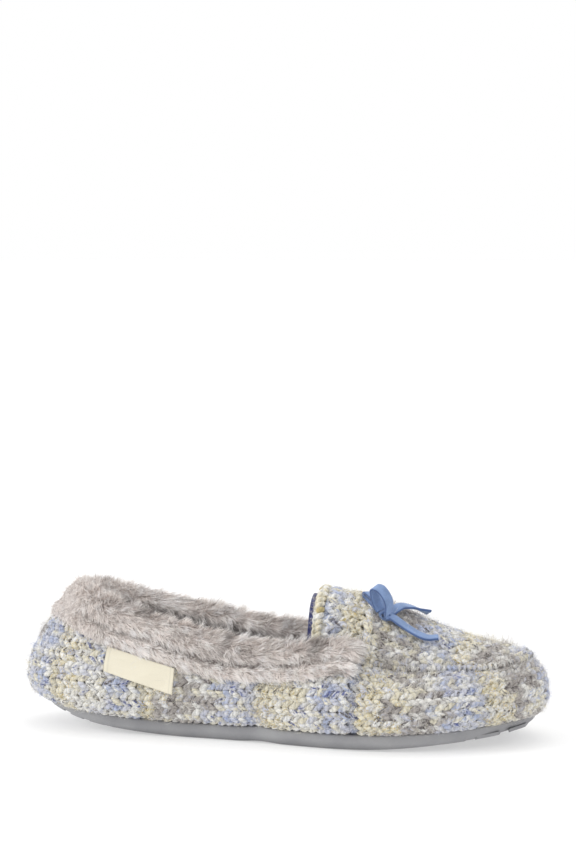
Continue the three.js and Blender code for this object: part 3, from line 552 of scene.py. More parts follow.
class Paint:
    """A material with a short way to add and join nodes."""

    def __init__(self, name, roughness=0.9, **sockets):
        self.material = bpy.data.materials.new(name)
        self.material.use_nodes = True
        self.tree = self.material.node_tree
        self.shader = self.tree.nodes["Principled BSDF"]
        self.set("Roughness", roughness)
        for key, value in sockets.items():
            self.set(key.replace("_", " "), value)

    def set(self, socket, value):
        self.shader.inputs[socket].default_value = value

    def node(self, kind, inputs=None, **settings):
        node = self.tree.nodes.new(kind)
        for key, value in settings.items():
            setattr(node, key, value)
        for key, value in (inputs or {}).items():
            if isinstance(value, bpy.types.NodeSocket):
                self.tree.links.new(value, node.inputs[key])
            else:
                node.inputs[key].default_value = value
        return node

    def join(self, source, socket):
        self.tree.links.new(source, self.shader.inputs[socket])

    def stored(self, name, kind="Color"):
        """Values that the mesh keeps on its points."""
        return self.node("ShaderNodeAttribute", attribute_name=name).outputs[kind]

    def shaded(self, base, share, factor, *stops):
        """The base with greys laid over it along a factor."""
        tones = self.ramp(factor, [(place, grey(value)) for place, value in stops])
        return self.mix(share, base, tones, "MULTIPLY")

    def math(self, operation, a, b=0.0):
        return self.node("ShaderNodeMath", {0: a, 1: b}, operation=operation).outputs[0]

    def place(self, kind="Object"):
        return self.node("ShaderNodeTexCoord").outputs[kind]

    def noise(self, scale, detail=3.0, rough=0.55, vector=None):
        vector = vector or self.place()
        return self.node("ShaderNodeTexNoise", {"Vector": vector, "Scale": scale, "Detail": detail,
                                                "Roughness": rough}).outputs["Fac"]

    def ramp(self, factor, stops):
        node = self.node("ShaderNodeValToRGB", {0: factor})
        elements = node.color_ramp.elements
        while len(elements) < len(stops):
            elements.new(0.5)
        for element, (position, colour) in zip(elements, stops):
            element.position = position
            element.color = (*colour, 1.0)
        return node.outputs[0]

    def mix(self, factor, a, b, blend="MIX"):
        node = self.node("ShaderNodeMix", data_type="RGBA", blend_type=blend)
        for key, value in ((0, factor), (6, a), (7, b)):
            if isinstance(value, bpy.types.NodeSocket):
                self.tree.links.new(value, node.inputs[key])
            else:
                node.inputs[key].default_value = value
        return node.outputs[2]

    def bump(self, height, strength, distance, normal=None):
        inputs = {"Height": height, "Strength": strength, "Distance": distance}
        if normal is not None:
            inputs["Normal"] = normal
        return self.node("ShaderNodeBump", inputs).outputs[0]


def rgba(colour):
    return (*linear(colour), 1.0)


def grey(value):
    return (value, value, value)


# Length of yarn in one turn of its plies.
PLY = 2.4


def yarn_material():
    """Plied yarn: mottled colour, twist relief from the UVs with painted shade along the grooves between
    plies, fine fibre relief and metallic flecks.
    """
    paint = Paint("knit_yarn", 0.95, Sheen_Weight=0.25, Sheen_Roughness=0.5, Specular_IOR_Level=0.25)
    drawn = paint.node("ShaderNodeMapping", {"Vector": paint.place("UV"), "Scale": (0.3, 5.0, 1.0),
                                             "Rotation": (0.0, 0.0, 0.12)}).outputs[0]
    strand = paint.ramp(paint.noise(1.0, 3, 0.65, drawn), [(0.5, grey(0.0)), (0.6, grey(1.0))])
    colour = paint.mix(strand, paint.stored("paint"), paint.stored("second"))
    uv = paint.node("ShaderNodeSeparateXYZ", {0: paint.place("UV")})
    turn = paint.math("ADD", paint.math("MULTIPLY", uv.outputs[0], 2 * math.pi / PLY),
                      paint.math("MULTIPLY", uv.outputs[1], 4 * math.pi))
    twist = paint.math("MULTIPLY_ADD", paint.math("SINE", turn), 0.5)
    fibre = paint.noise(2600, 4, 0.7)
    mottled = paint.noise(520, 3, 0.6)
    base = paint.shaded(colour, 0.75, mottled, (0.3, 0.62), (0.52, 1.0), (0.8, 1.16))
    base = paint.shaded(base, 0.6, fibre, (0.32, 0.6), (0.6, 1.1))
    # Painted shade: the colour darkens along the grooves between the twisted plies.
    base = paint.shaded(base, 0.55, twist, (0.0, 0.5), (0.4, 1.0))
    spots = paint.node("ShaderNodeTexVoronoi", {"Vector": paint.place(), "Scale": 900.0})
    spark = paint.math("LESS_THAN", spots.outputs["Distance"], 0.28)
    spark = paint.math("MULTIPLY", spark, paint.stored("lurex", "Fac"))
    base = paint.mix(spark, base, rgba((222, 196, 120)))
    paint.join(base, "Base Color")
    paint.join(paint.math("MULTIPLY", spark, 0.85), "Metallic")
    relief = paint.bump(twist, 0.7, 0.0006)
    relief = paint.bump(fibre, 0.55, 0.0003, relief)
    paint.join(relief, "Normal")
    return paint.material


YARN_PAINT = yarn_material()


def hair_material(name, sheen):
    paint = Paint(name, 0.75, Sheen_Weight=sheen, Sheen_Roughness=0.4, Specular_IOR_Level=0.3)
    streaked = paint.shaded(paint.stored("paint"), 0.8, paint.noise(300, 3, 0.6), (0.3, 0.86), (0.7, 1.06))
    paint.join(streaked, "Base Color")
    return paint.material


FIBRE_PAINT = hair_material("knit_fibres", 0.2)
FUR_PAINT = hair_material("fur_hair", 0.35)

# Camera.

cam_data = bpy.data.cameras.new("camera")
cam_data.sensor_fit = "HORIZONTAL"
cam_data.sensor_width = SENSOR
cam_data.lens = LENS
cam_data.clip_start = 0.05
camera = bpy.data.objects.new("camera", cam_data)
bpy.context.scene.collection.objects.link(camera)
turn, rise = math.radians(AZIMUTH), math.radians(ELEVATION)
towards = Vector((math.sin(turn) * math.cos(rise), -math.cos(turn) * math.cos(rise), math.sin(rise)))
camera.location = LOOKED_AT + towards * DISTANCE
camera.rotation_euler = (AIM - camera.location).to_track_quat("-Z", "Y").to_euler()
bpy.context.scene.camera = camera

# Bow: two suede laces and a knot.

KNOT = np.array([6.5, 6.5, 3.8])
KNOT_SEAT = 3.0
# Suede colours in 8-bit sRGB, and the steps to each span of a lace.
KNOT_TONE = (98, 120, 160)
LACE_FACE = (127, 150, 190)
LACE_EDGE = (84, 104, 146)
LACE_STEPS = 9


def tongue_height(x, y):
    near = plug_edge(outer_place(np.array([x])))[0]
    far = plug_edge(inner_place(np.array([x])))[0]
    share = np.clip(2 * (y - near[1]) / (far[1] - near[1]) - 1, -1, 1)
    return float(plug_point(np.array([x]), np.array([share]), 0.0)[0, 2])


BOW_AT = np.array([51.0, -16.0, 0.0])
BOW_AT[2] = tongue_height(BOW_AT[0], BOW_AT[1]) + KNOT_SEAT
LOOP_NEAR = [[-2.2, 0.3, 2.6], [-4.2, 0.2, 6.2], [-4.8, -1.5, 10.2], [-4.6, -2.9, 13.4],
             [-1.6, -4.4, 13.3], [1.3, -4.7, 10.1], [2.5, -3.7, 6.4], [2.1, -2.2, 2.6]]
LOOP_FAR = [[-3.4, 3.2, 2.2], [-6.4, 6.6, 1.5], [-9.4, 10.0, 1.0], [-11.2, 12.2, 1.4],
            [-10.6, 11.6, 2.9], [-7.6, 8.4, 3.5], [-4.2, 5.2, 4.2]]
TAIL_NEAR = [[3.8, -0.5, 4.2], [9, -1, 3], [15, -1.4, 2], [20.4, -1.2, 1.7], [25.4, -0.2, 2.9]]
TAIL_FAR = [[2.4, 4, 2.8], [6, 8.2, 3.5], [10, 11.8, 3], [14.2, 14.4, 2.4], [17.8, 16.4, 2.2]]
LOOP_NEAR_WIDE = (0.44, 0.83, 0.34)
LOOP_FAR_WIDE = (0.75, 0.65, 0.0)
TAIL_NEAR_WIDE = ((0.3, 0.95, 0.12), (0.0, 0.95, 0.2))
TAIL_FAR_WIDE = ((-0.5, 0.7, 0.45), (0.3, 0.75, -0.45))


def smooth_path(points, steps):
    """Centripetal curve through the points, with the same number of steps to each span."""
    points = np.asarray(points, dtype=float)
    ends = np.concatenate([[2 * points[0] - points[1]], points, [2 * points[-1] - points[-2]]])
    found = []
    for i in range(1, len(ends) - 2):
        p = ends[i - 1:i + 3]
        gap = np.maximum(np.linalg.norm(np.diff(p, axis=0), axis=1) ** 0.5, 1e-4)
        t1 = ((p[1] - p[0]) / gap[0] - (p[2] - p[0]) / (gap[0] + gap[1]) + (p[2] - p[1]) / gap[1]) * gap[1]
        t2 = ((p[2] - p[1]) / gap[1] - (p[3] - p[1]) / (gap[1] + gap[2]) + (p[3] - p[2]) / gap[2]) * gap[1]
        last = i == len(ends) - 3
        for t in np.linspace(0, 1, steps + 1)[:None if last else -1]:
            found.append(p[1] + t1 * t + (-3 * p[1] + 3 * p[2] - 2 * t1 - t2) * t * t
                         + (2 * p[1] - 2 * p[2] + t1 + t2) * t ** 3)
    return np.array(found)


def lying(points):
    """Points over the tongue, where the last length is the height above it."""
    placed = np.array(points, dtype=float) + (BOW_AT[0], BOW_AT[1], 0.0)
    placed[:, 2] += [tongue_height(x, y) for x, y in placed[:, :2]]
    return placed


def lace(name, loop, tail, lies, loop_wide, tail_wide, *replaced):
    """One half of the bow: out of the knot, round its loop, back through the knot and down its tail."""
    loop = lying(loop) if lies else np.array(loop) + BOW_AT
    tail = lying(tail)
    middle = (loop[-1] + tail[0]) / 2
    middle[2] = BOW_AT[2] + 0.6
    route = [*loop, middle * 0.6 + BOW_AT * 0.4, *tail]
    path = smooth_path(route, LACE_STEPS)
    step = np.arange(len(path)) / LACE_STEPS
    turn = smooth(step, len(loop) - 1.0, len(loop) + 1.0)[:, None]
    late = np.clip((step - len(loop) - 1.0) / (len(tail) - 1.0), 0, 1)[:, None]
    wide = (1 - turn) * np.array(loop_wide) + turn * ((1 - late) * np.array(tail_wide[0])
                                                      + late * np.array(tail_wide[1]))
    ahead = unit(np.gradient(path, axis=0))
    across = unit(wide - ahead * np.sum(wide * ahead, axis=1, keepdims=True))
    flat = np.cross(ahead, across)
    half_w = RIBBON_WIDTH / 2
    half_t = RIBBON_THICKNESS / 2
    shape = [(1, 0.0), (0.97, 0.7), (0.9, 1), (0.45, 0.94), (0, 0.9), (-0.45, 0.94), (-0.9, 1),
             (-0.97, 0.7), (-1, 0.0), (-0.97, -0.7), (-0.9, -1), (-0.45, -0.94), (0, -0.9),
             (0.45, -0.94), (0.9, -1), (0.97, -0.7)]
    ring = len(shape)
    wave = 0.18 * noise(path, 5.0, 3)
    points = np.stack([path + across * (w * (half_w + wave))[:, None] + flat * (t * half_t)
                       for w, t in shape], axis=1)
    quads = grid_quads(len(path), ring, wrap_columns=True)
    start = [[0, k, k + 1] for k in range(1, ring - 1)]
    end = (len(path) - 1) * ring
    stop = [[end, end + k + 1, end + k] for k in range(1, ring - 1)]
    length = run_length(path)
    edge = np.array([abs(w) for w, _ in shape])
    light = np.where(edge > 0.96, 0.0, 1.0)
    face = linear(LACE_FACE)
    cut = linear(LACE_EDGE)
    paint = cut + (face - cut) * np.tile(light, len(path))[:, None]
    uv = np.stack([np.repeat(length, ring), np.tile([w for w, _ in shape], len(path))], axis=-1)
    piece = build(name, points.reshape(-1, 3), quads, np.array(start + stop), paint, uv)
    finish_piece(piece, SUEDE, "suede_lace", *replaced)
    route_m = ((path + SHIFT) * MM).tolist()
    return piece, route_m, length[-1] * MM


def suede_material():
    paint = Paint("suede", 0.96, Sheen_Weight=0.6, Sheen_Roughness=0.45, Specular_IOR_Level=0.2)
    paint.set("Sheen Tint", rgba((205, 218, 240)))
    nap = paint.noise(1500, 5, 0.7)
    cloud = paint.noise(220, 3, 0.6)
    base = paint.shaded(paint.stored("paint"), 0.8, cloud, (0.3, 0.78), (0.7, 1.12))
    base = paint.shaded(base, 0.6, nap, (0.3, 0.8), (0.7, 1.1))
    paint.join(base, "Base Color")
    paint.join(paint.bump(nap, 0.5, 0.0003), "Normal")
    return paint.material


SUEDE = suede_material()
lace_near, near_route, near_length = lace(
    "lace_near", LOOP_NEAR, TAIL_NEAR, False, LOOP_NEAR_WIDE, TAIL_NEAR_WIDE,
    "bow_loop_near", "bow_tail_near")
lace_far, far_route, far_length = lace(
    "lace_far", LOOP_FAR, TAIL_FAR, True, LOOP_FAR_WIDE, TAIL_FAR_WIDE,
    "bow_loop_far", "bow_tail_far")


def knot_piece():
    """Two flat turns of lace pulled over each other."""
    parts = Parts()
    face = linear(KNOT_TONE)
    steps, ring = 40, 12
    # Each turn: how far it leans, and its size.
    for lean, grow in ((0.35, 1.0), (-0.5, 0.86)):
        angle = 2 * np.pi * np.arange(steps) / steps
        axis_a = np.array([math.cos(lean), math.sin(lean), -0.35])
        axis_b = np.array([0, 0, 1.0])
        centre = (BOW_AT + np.cos(angle)[:, None] * axis_a * (KNOT[0] / 2 - 0.9) * grow
                  + np.sin(angle)[:, None] * axis_b * (KNOT[2] / 2 - 0.3) * grow)
        across = unit(np.cross(axis_a, axis_b))
        out = unit(centre - BOW_AT)
        around = 2 * np.pi * np.arange(ring) / ring
        squash = np.sign(np.cos(around)) * np.abs(np.cos(around)) ** 0.6
        points = (centre[:, None] + squash[None, :, None] * across * 2.3
                  + (np.sin(around) * 0.75)[None, :, None] * out[:, None])
        edge = np.abs(np.tile(np.cos(around), steps))
        tone = np.where(edge > 0.93, 0.75, 1.0)[:, None] * face
        parts.add(points.reshape(-1, 3), grid_quads(steps, ring, True, True), paint=tone)
    piece = parts.build("lace_knot")
    return finish_piece(piece, SUEDE, "suede_lace", "bow_knot")


lace_knot = knot_piece()

# Outsole.

# Height over the ground, in metres, where the sole's lower shade ends.
SHADED_HEIGHT = 0.004


def add_lugs(parts):
    """Wavy lugs under the sole, each a floor with a soft rim and a side wall."""
    total = int((SOLE_LENGTH - LUG_PITCH) // LUG_PITCH)
    first = -LUG_PITCH * (total - 1) / 2
    edges = [-SOLE_LENGTH / 2 + 3] + [first + k * LUG_PITCH for k in range(total)] + [SOLE_LENGTH / 2 - 4]
    for k in range(len(edges) - 1):
        xa = edges[k] + (GROOVE_WIDTH / 2 if k else 0)
        xb = edges[k + 1] - (GROOVE_WIDTH / 2 if k < len(edges) - 2 else 0)
        v = np.linspace(-1, 1, 25)
        u = np.linspace(0, 1, 7)
        ug, vg = np.meshgrid(u, v, indexing="ij")
        xg = xa + (xb - xa) * ug
        lean = np.where(k == 0, ug, np.where(k == len(edges) - 2, 1 - ug, 1.0))
        yo = np.interp(xg, FINE_X[OUTER], FINE_Y[OUTER]) + SIDE_STEP + 1.2
        yi = np.interp(xg, FINE_X[INNER][::-1], FINE_Y[INNER][::-1]) - SIDE_STEP - 1.2
        yg = (yo + yi) / 2 + vg * np.maximum((yi - yo) / 2, 0.4)
        wave = GROOVE_WAVE * np.cos(np.pi * (yg / (0.62 * BALL_WIDTH) + 1) * 3)
        xw = xg + wave * lean
        low = sole_lift(xw)
        rim = (np.minimum(np.minimum(ug, 1 - ug) * 6, np.minimum(vg + 1, 1 - vg) * 12) < 0.5)
        floor = np.stack([xw, yg, low + np.where(rim, 0.25, 0.0)], axis=-1)
        n = floor.shape[1]
        parts.add(floor.reshape(-1, 3), grid_quads(len(u), n)[:, ::-1])
        loop = np.concatenate([floor[0], floor[1:, -1], floor[-1, ::-1][1:], floor[1:-1, 0][::-1]])
        roof = loop.copy()
        roof[:, 2] = sole_lift(roof[:, 0]) + LUG_HEIGHT + 0.3
        side = np.stack([loop, roof])
        parts.add(side.reshape(-1, 3), grid_quads(2, len(loop), wrap_columns=True))


def outsole_piece():
    """Side wall and top of the sole over a smooth outline, with wavy lugs under it."""
    parts = Parts()
    top = LUG_HEIGHT + SOLE_THICKNESS
    profile = [(-14.0, LUG_HEIGHT), (-SIDE_STEP - 2.6, LUG_HEIGHT), (-SIDE_STEP - 1.6, 0.45),
               (-SIDE_STEP - 0.3, 0.35), (-0.25, 1.1), (0, LUG_HEIGHT + SIDE_STEP), (0.05, top / 2),
               (0, top - SIDE_STEP - 0.4), (-0.2, top - 0.35), (-SIDE_STEP, top), (-14.0, top)]
    count = 300
    places = place_at_length(GIRTH * np.arange(count) / count)
    x, y, nx, ny = outline_at(places)
    rows = []
    for out, up in profile:
        lift = sole_lift(x)
        drawn = out - TURN_IN * lift * (1 - up / top)
        px = x + nx * drawn
        py = y + ny * drawn
        if out < -10:
            py = y * 0.55
            px = x * 0.93
        height = np.where(out < -10, sole_lift(px), lift) + up * sole_height(px) / top
        rows.append(np.stack([px, py, height], axis=-1))
    grid = np.array(rows)
    parts.add(grid.reshape(-1, 3), grid_quads(len(profile), count, wrap_columns=True)[:, ::-1])
    for k in (0, len(profile) - 1):
        both, quads = across_ring(grid[k], 4)
        both[..., 2] = sole_lift(both[..., 0]) + profile[k][1] * sole_height(both[..., 0]) / top
        parts.add(both.reshape(-1, 3), quads if k else quads[:, ::-1])
    add_lugs(parts)
    piece = parts.build("sole_rubber")
    paint = Paint("sole_rubber", 0.62, Specular_IOR_Level=0.35)
    grain = paint.noise(2200, 4, 0.65)
    cloud = paint.noise(45, 3, 0.5)
    base = paint.ramp(cloud, [(0.3, linear((140, 140, 143))), (0.7, linear((160, 160, 162)))])
    height = paint.node("ShaderNodeSeparateXYZ", {0: paint.place()}).outputs[2]
    low = paint.math("DIVIDE", height, SHADED_HEIGHT)
    base = paint.shaded(base, 1.0, low, (0.0, 0.62), (0.5, 0.8), (1.0, 1.0))
    base = paint.shaded(base, 0.5, grain, (0.35, 0.85), (0.65, 1.08))
    paint.join(base, "Base Color")
    paint.join(paint.ramp(grain, [(0.3, grey(0.5)), (0.7, grey(0.75))]), "Roughness")
    paint.join(paint.bump(grain, 0.25, 0.0002), "Normal")
    return finish_piece(piece, paint.material, "sole_rubber", "outsole")


outsole_piece()

# Backing and lining of the wall.

def fleece_material(name, dark, light):
    paint = Paint(name, 0.97, Sheen_Weight=0.5, Sheen_Roughness=0.5, Specular_IOR_Level=0.2)
    curl = paint.node("ShaderNodeTexVoronoi", {"Vector": paint.place(), "Scale": 620.0}).outputs[0]
    pile = paint.noise(1500, 4, 0.7)
    # Each curl is paler at its middle and darker to its edges: partly the pile's own tone, partly painted
    # shade in the hollows between curls.
    base = paint.ramp(curl, [(0.0, linear(light)), (0.75, linear(dark))])
    paint.join(paint.shaded(base, 0.6, pile, (0.3, 0.75), (0.7, 1.12)), "Base Color")
    relief = paint.math("ADD", paint.math("MULTIPLY", curl, -0.6), pile)
    paint.join(paint.bump(relief, 0.8, 0.0006), "Normal")
    return paint.material


LINING = fleece_material("lining_fleece", (84, 84, 104), (132, 132, 152))
# The backing shows only in the gaps between stitches, and its dark grey is painted shade there.
GAP_SHADE_BACKING = fleece_material("knit_backing_gap_shade", (112, 107, 104), (158, 152, 147))


def wall_backing():
    """Thin shell behind the stitches, dark grey as painted shade where it shows between them. Its inner
    face is the lining.
    """
    count, ups = 320, 22
    places = place_at_length(GIRTH * np.arange(count) / count)
    t = np.linspace(0.0, 1.0, ups)
    pg, tg = np.meshgrid(places, t, indexing="ij")
    outer, _, _ = wall_point(pg, tg, -KNIT_SINK - LOOP_DEPTH)
    inner, _, _ = wall_point(pg, tg, -WALL)
    inner[:, 0] = inner[:, 1]
    inner[:, 0, 2] = outer[:, 0, 2]
    section = np.concatenate([outer, inner[:, ::-1]], axis=1)
    quads = grid_quads(count, 2 * ups, True, True)
    piece = build("wall_backing", section.reshape(-1, 3), quads)
    finish_piece(piece, GAP_SHADE_BACKING, "navy_lining", "upper")
    piece.data.materials.append(LINING)
    side = (np.arange(len(quads)) % (2 * ups)) >= ups - 1
    piece.data.polygons.foreach_set("material_index", side.astype(np.int32))
    return piece


wall_backing()


def plug_backing():
    """Thin shell behind the plug's stitches, dark grey as painted shade where it shows between them, with
    the lining as its under face.
    """
    columns = 49
    shares = eased_shares(columns)
    xs = np.concatenate([np.linspace(118.6, 112, 8), np.linspace(110, TONGUE_X, 60)])
    xg, sg = np.meshgrid(xs, shares, indexing="ij")
    top, _ = plug_frame(xg, sg, np.full(xg.shape, -PLUG_SINK - 0.8))
    under, _ = plug_frame(xg, sg, np.full(xg.shape, -WALL))
    points, quads = closed_sheet(top, under)
    piece = build("plug_backing", points, quads)
    finish_piece(piece, GAP_SHADE_BACKING, "navy_lining", "toe_plug")
    piece.data.materials.append(LINING)
    body = (len(xs) - 1) * 2 * columns
    side = np.zeros(len(quads), dtype=np.int32)
    side[:body] = (np.arange(body) % (2 * columns)) >= columns
    piece.data.polygons.foreach_set("material_index", side)
    return piece


plug_backing()

# Knitting.

REPEAT_LENGTHS = np.array([float(length_at_outer(x)) for x in REPEAT_STARTS])


# Steps of a yarn that share one tone, and how far a band's edge strays, as a share of a repeat.
SAMPLE_STEPS = 4
RAGGED = 0.26


def repeat_phase(length):
    """Which colour repeat a length along the outline falls in, and the share of it passed."""
    knots = np.concatenate([[REPEAT_LENGTHS[0] - REPEAT], REPEAT_LENGTHS,
                            REPEAT_LENGTHS[-1] + REPEAT * np.arange(1, 9)])
    phase = np.interp(length, knots, np.arange(len(knots)))
    return np.floor(phase).astype(int), phase - np.floor(phase)


def yarn_colours(length, wale, seed):
    """Plies (main tones, second tones, metallic share), groove depth and kind of a yarn's samples."""
    row = np.floor(length / COURSE)
    sample = np.floor(np.arange(len(length)) / SAMPLE_STEPS)
    ragged = (scatter(wale, row, seed) - 0.5) * RAGGED
    index, share = repeat_phase(length)
    shifted = share + ragged * (share > 0.08)
    band_index = (index - 1) % len(BANDS)
    ends = np.array([band[:2] for band in BANDS])[band_index]
    middle = np.array([KINDS.index(band[2]) for band in BANDS])[band_index]
    kind = np.where(shifted < ends[..., 0], KINDS.index("cream"),
                    np.where(shifted < ends[..., 1], middle, KINDS.index("lavender")))
    plies = []
    for layer in (0, 1):
        pick = scatter(sample, wale * 3 + row, seed + 5 + 3 * layer)
        colour = np.zeros(share.shape + (3,))
        for k, name in enumerate(KINDS):
            start = 0.0
            for tone, weight in MIXES[name][layer]:
                chosen = (kind == k) & (pick >= start) & (pick < start + weight + 1e-6)
                colour[chosen] = linear(tone)
                start += weight
        plies.append(blend_along(colour))
    lurex = np.array([mix[2] for mix in MIXES.values()])[kind]
    groove = np.exp(-((np.minimum(share, 1 - share)) / 0.035) ** 2)
    return (*plies, lurex), groove, kind


def blend_along(colour):
    """Softens colour changes along a yarn."""
    padded = np.concatenate([colour[:1], colour, colour[-1:]])
    return (padded[:-2] + 2 * padded[1:-1] + padded[2:]) / 4


FUZZ = {"roots": [], "normals": [], "paint": [], "long": []}


def keep_for_fuzz(path, normals, colour, kind, share_kept):
    """Points of a yarn that loose fibres will stand on. The grey yarn is the hairiest."""
    kept = RANDOM.random(len(path)) < share_kept * np.where(kind == GREY_YARN, 2.2, 1.0)
    FUZZ["roots"].append(path[kept] + normals[kept] * YARN * 0.6)
    FUZZ["normals"].append(normals[kept])
    FUZZ["paint"].append(colour[kept])
    FUZZ["long"].append(np.where(kind[kept] == GREY_YARN, 1.6, 1.0))


def loop_rise(theta):
    """Length up a wale at each turn of its loops."""
    return (theta + LOOP_BEND * np.sin(2 * theta) + LOOP_PAIR * np.sin(theta)) / (2 * np.pi) * WALE


def uneven(key, broad, blob, seed):
    """How far hand-made stitches stray, in a broad part and a fine one."""
    return broad * noise(key, blob, seed) + 0.35 * noise(key, 3.0, seed + 10)


def stitch_wall(outer_side):
    """Courses of loops up the wall, at even lengths round the outline."""
    parts = Parts()
    total = int(round(GIRTH / COURSE))
    toe_length = np.interp(TOE_AT, FINE_PLACES, FINE_LENGTH)
    for j in range(total):
        centre = (j + 0.5) * GIRTH / total
        if (centre <= toe_length) != outer_side:
            continue
        place = float(place_at_length(centre))
        x = float(outline_at(place)[0])
        arc = arc_table(place)
        top = arc[-1] + 0.3
        if x < THROAT_X - CUFF_BACK_OFF:
            # The knitting runs on a little way under the cuff.
            top = arc[-1] - cuff_leg(x) + 5.0
        count = int(top / WALE * STITCH_STEPS) + 2
        theta = np.arange(count) * 2 * np.pi / STITCH_STEPS
        up = loop_rise(theta) + 0.6
        span = LOOP_REACH * np.cos(theta)
        key = np.stack([np.full(count, centre), up, np.full(count, 7.0)], axis=-1)
        up = np.clip(up + uneven(key, 0.7, 9.0, 2), 0.0, top)
        length = centre + span + uneven(key, 0.8, 11.0, 4)
        wale = np.floor(theta / (2 * np.pi) + 0.5)
        plies, groove, kind = yarn_colours(np.full(count, centre), wale, 1.0)
        off = -KNIT_SINK - LOOP_DEPTH * np.cos(2 * theta) + 0.3 * noise(key, 5.0, 6) - 0.9 * groove
        t = np.interp(up, arc, SHARES)
        path, normals, _ = wall_point(place_at_length(length), t, off)
        radius = YARN * (1 + 0.2 * noise(key, 3.0, 8)) * (1 - 0.1 * groove)
        # Painted shade: yarns darken where neighbouring wales meet and along the grooves at colour
        # repeats.
        between = ((1 + np.cos(theta)) / 2) ** 3
        painted_shade = ((1 - 0.3 * groove) * (1 - 0.4 * between))[:, None]
        parts.add_yarn(path, normals, radius, 17.3 * j, plies, painted_shade)
        front = np.cos(2 * theta) < -0.2
        keep_for_fuzz(path[front], normals[front], plies[0][front], kind[front], 1.0)
    name = "knit_outer_side" if outer_side else "knit_inner_side"
    return finish_piece(parts.build(name), YARN_PAINT, "knit")


stitch_wall(True)
stitch_wall(False)


def stitch_plug():
    """Courses across the plug and tongue, from the toe back."""
    parts = Parts()
    xs = np.linspace(118.5, TONGUE_X + 1.0, 260)
    spine = plug_point(xs, np.zeros_like(xs), 0.0)
    run = run_length(spine)
    total = int(run[-1] / COURSE)
    shares = np.linspace(-1, 1, 121)
    for j in range(total):
        centre = (j + 0.5) * run[-1] / total
        x = float(np.interp(centre, run, xs))
        line = plug_point(np.full(121, x), shares)
        arc = run_length(line)
        arc -= arc[-1] / 2
        rim = 1.4 if x >= THROAT_X else 0.4
        reach = arc[-1] - rim
        if reach < 1.5:
            continue
        count = int(reach / WALE * STITCH_STEPS) * 2 + 1
        theta = (np.arange(count) - count // 2) * 2 * np.pi / STITCH_STEPS
        across = loop_rise(theta)
        key = np.stack([np.full(count, centre), across, np.full(count, 90.0)], axis=-1)
        across = np.clip(across + uneven(key, 0.7, 9.0, 2), -reach, reach)
        span = LOOP_REACH * np.cos(theta) + uneven(key, 0.7, 11.0, 4)
        wale = np.floor(theta / (2 * np.pi) + 0.5)
        band_x = length_at_outer(x + 4 * noise(key, 30.0, 3)) + 14
        plies, groove, kind = yarn_colours(band_x, wale, 9.0)
        off = -PLUG_SINK - LOOP_DEPTH * np.cos(2 * theta) + 0.3 * noise(key, 5.0, 6) - 0.5 * groove
        xx = np.interp(np.clip(centre + span, 0, run[-1]), run, xs)
        path, normals = plug_frame(xx, np.interp(across, arc, shares), off)
        radius = YARN * (1 + 0.14 * noise(key, 3.0, 8))
        # Painted shade along the grooves at colour repeats.
        painted_shade = 1 - 0.2 * groove[:, None]
        parts.add_yarn(path, normals, radius, 11.9 * j, plies, painted_shade)
        front = np.cos(2 * theta) < -0.2
        keep_for_fuzz(path[front], normals[front], plies[0][front], kind[front], 1.0)
    return finish_piece(parts.build("knit_plug"), YARN_PAINT, "knit")


stitch_plug()


# Strands over the seam: from one to the next, half their width across, and radius.
SEAM_PITCH = 2.7
SEAM_SIZE = 1.75
SEAM_YARN = 1.3
SEAM_STEPS = 11
# Where the seam starts in front of the throat.
SEAM_FRONT = THROAT_X + 1.5
# Ropes of yarn that fill the seam under its strands: depth behind the wall's face, and radius.
SEAM_ROPES = [(-1.1, 1.25), (-2.9, 1.3)]
ROPE_SHADE = 0.78


def seam_bead():
    """Gathered edge of the plug: a row of strands laid over the seam, with a groove below it."""
    parts = Parts()
    start = float(length_at_outer(SEAM_FRONT))
    stop = float(length_at_inner(SEAM_FRONT))
    total = int((stop - start) / SEAM_PITCH)
    for j in range(total):
        length = start + (j + 0.5) * (stop - start) / total
        angle = np.linspace(-1.5, 2.75, SEAM_STEPS)
        slant = 1.5 + 0.8 * float(noise(np.array([[length, 0.0, 3.0]]), 4.0, 9)[0])
        lean = slant * np.linspace(-1, 1, SEAM_STEPS) * (1 if length < (start + stop) / 2 else -1)
        place = place_at_length(length + lean)
        edge, normal, rising = wall_point(place, np.ones(SEAM_STEPS))
        inward = rising - normal * 0.2
        key = np.full((SEAM_STEPS, 3), length)
        size = SEAM_SIZE * (1 + 0.2 * noise(key, 5.0, 5))
        middle = edge + rising * (1.3 + FIT) + normal * 0.15
        path = (middle + normal * (np.cos(angle) * size)[:, None]
                + unit(inward) * (np.sin(angle) * size * 0.95)[:, None])
        out = unit(path - middle)
        plies, _, kind = yarn_colours(np.full(SEAM_STEPS, length), 3.0, 4.0)
        radius = SEAM_YARN * (1 + 0.2 * noise(key + angle[:, None], 2.0, 3))
        radius = radius * (0.3 + 0.7 * smooth(angle, -1.5, -0.7))
        tone = 0.95 + 0.1 * float(noise(np.array([[length, 1.0, 0.0]]), 3.0, 13)[0])
        parts.add_yarn(path, out, radius, 7.7 * j, plies, tone)
        keep_for_fuzz(path, out, plies[0] * tone, kind, 0.8)
    for depth, size in SEAM_ROPES:
        lengths = np.arange(start, stop, 1.2)
        key = np.stack([lengths, lengths * 0 + depth, lengths * 0], axis=-1)
        off = depth + 0.25 * noise(key, 4.0, 2)
        path, out, rising = wall_point(place_at_length(lengths), np.ones(len(lengths)), off)
        path = path + rising * (0.2 * noise(key, 3.0, 4))[:, None]
        plies, _, _ = yarn_colours(lengths, 5.0, 6.0)
        radius = size * (1 + 0.15 * noise(key, 3.0, 6))
        parts.add_yarn(path, out, radius, 0.0, plies, ROPE_SHADE)
    return finish_piece(parts.build("seam_bead"), YARN_PAINT, "knit")


seam_bead()


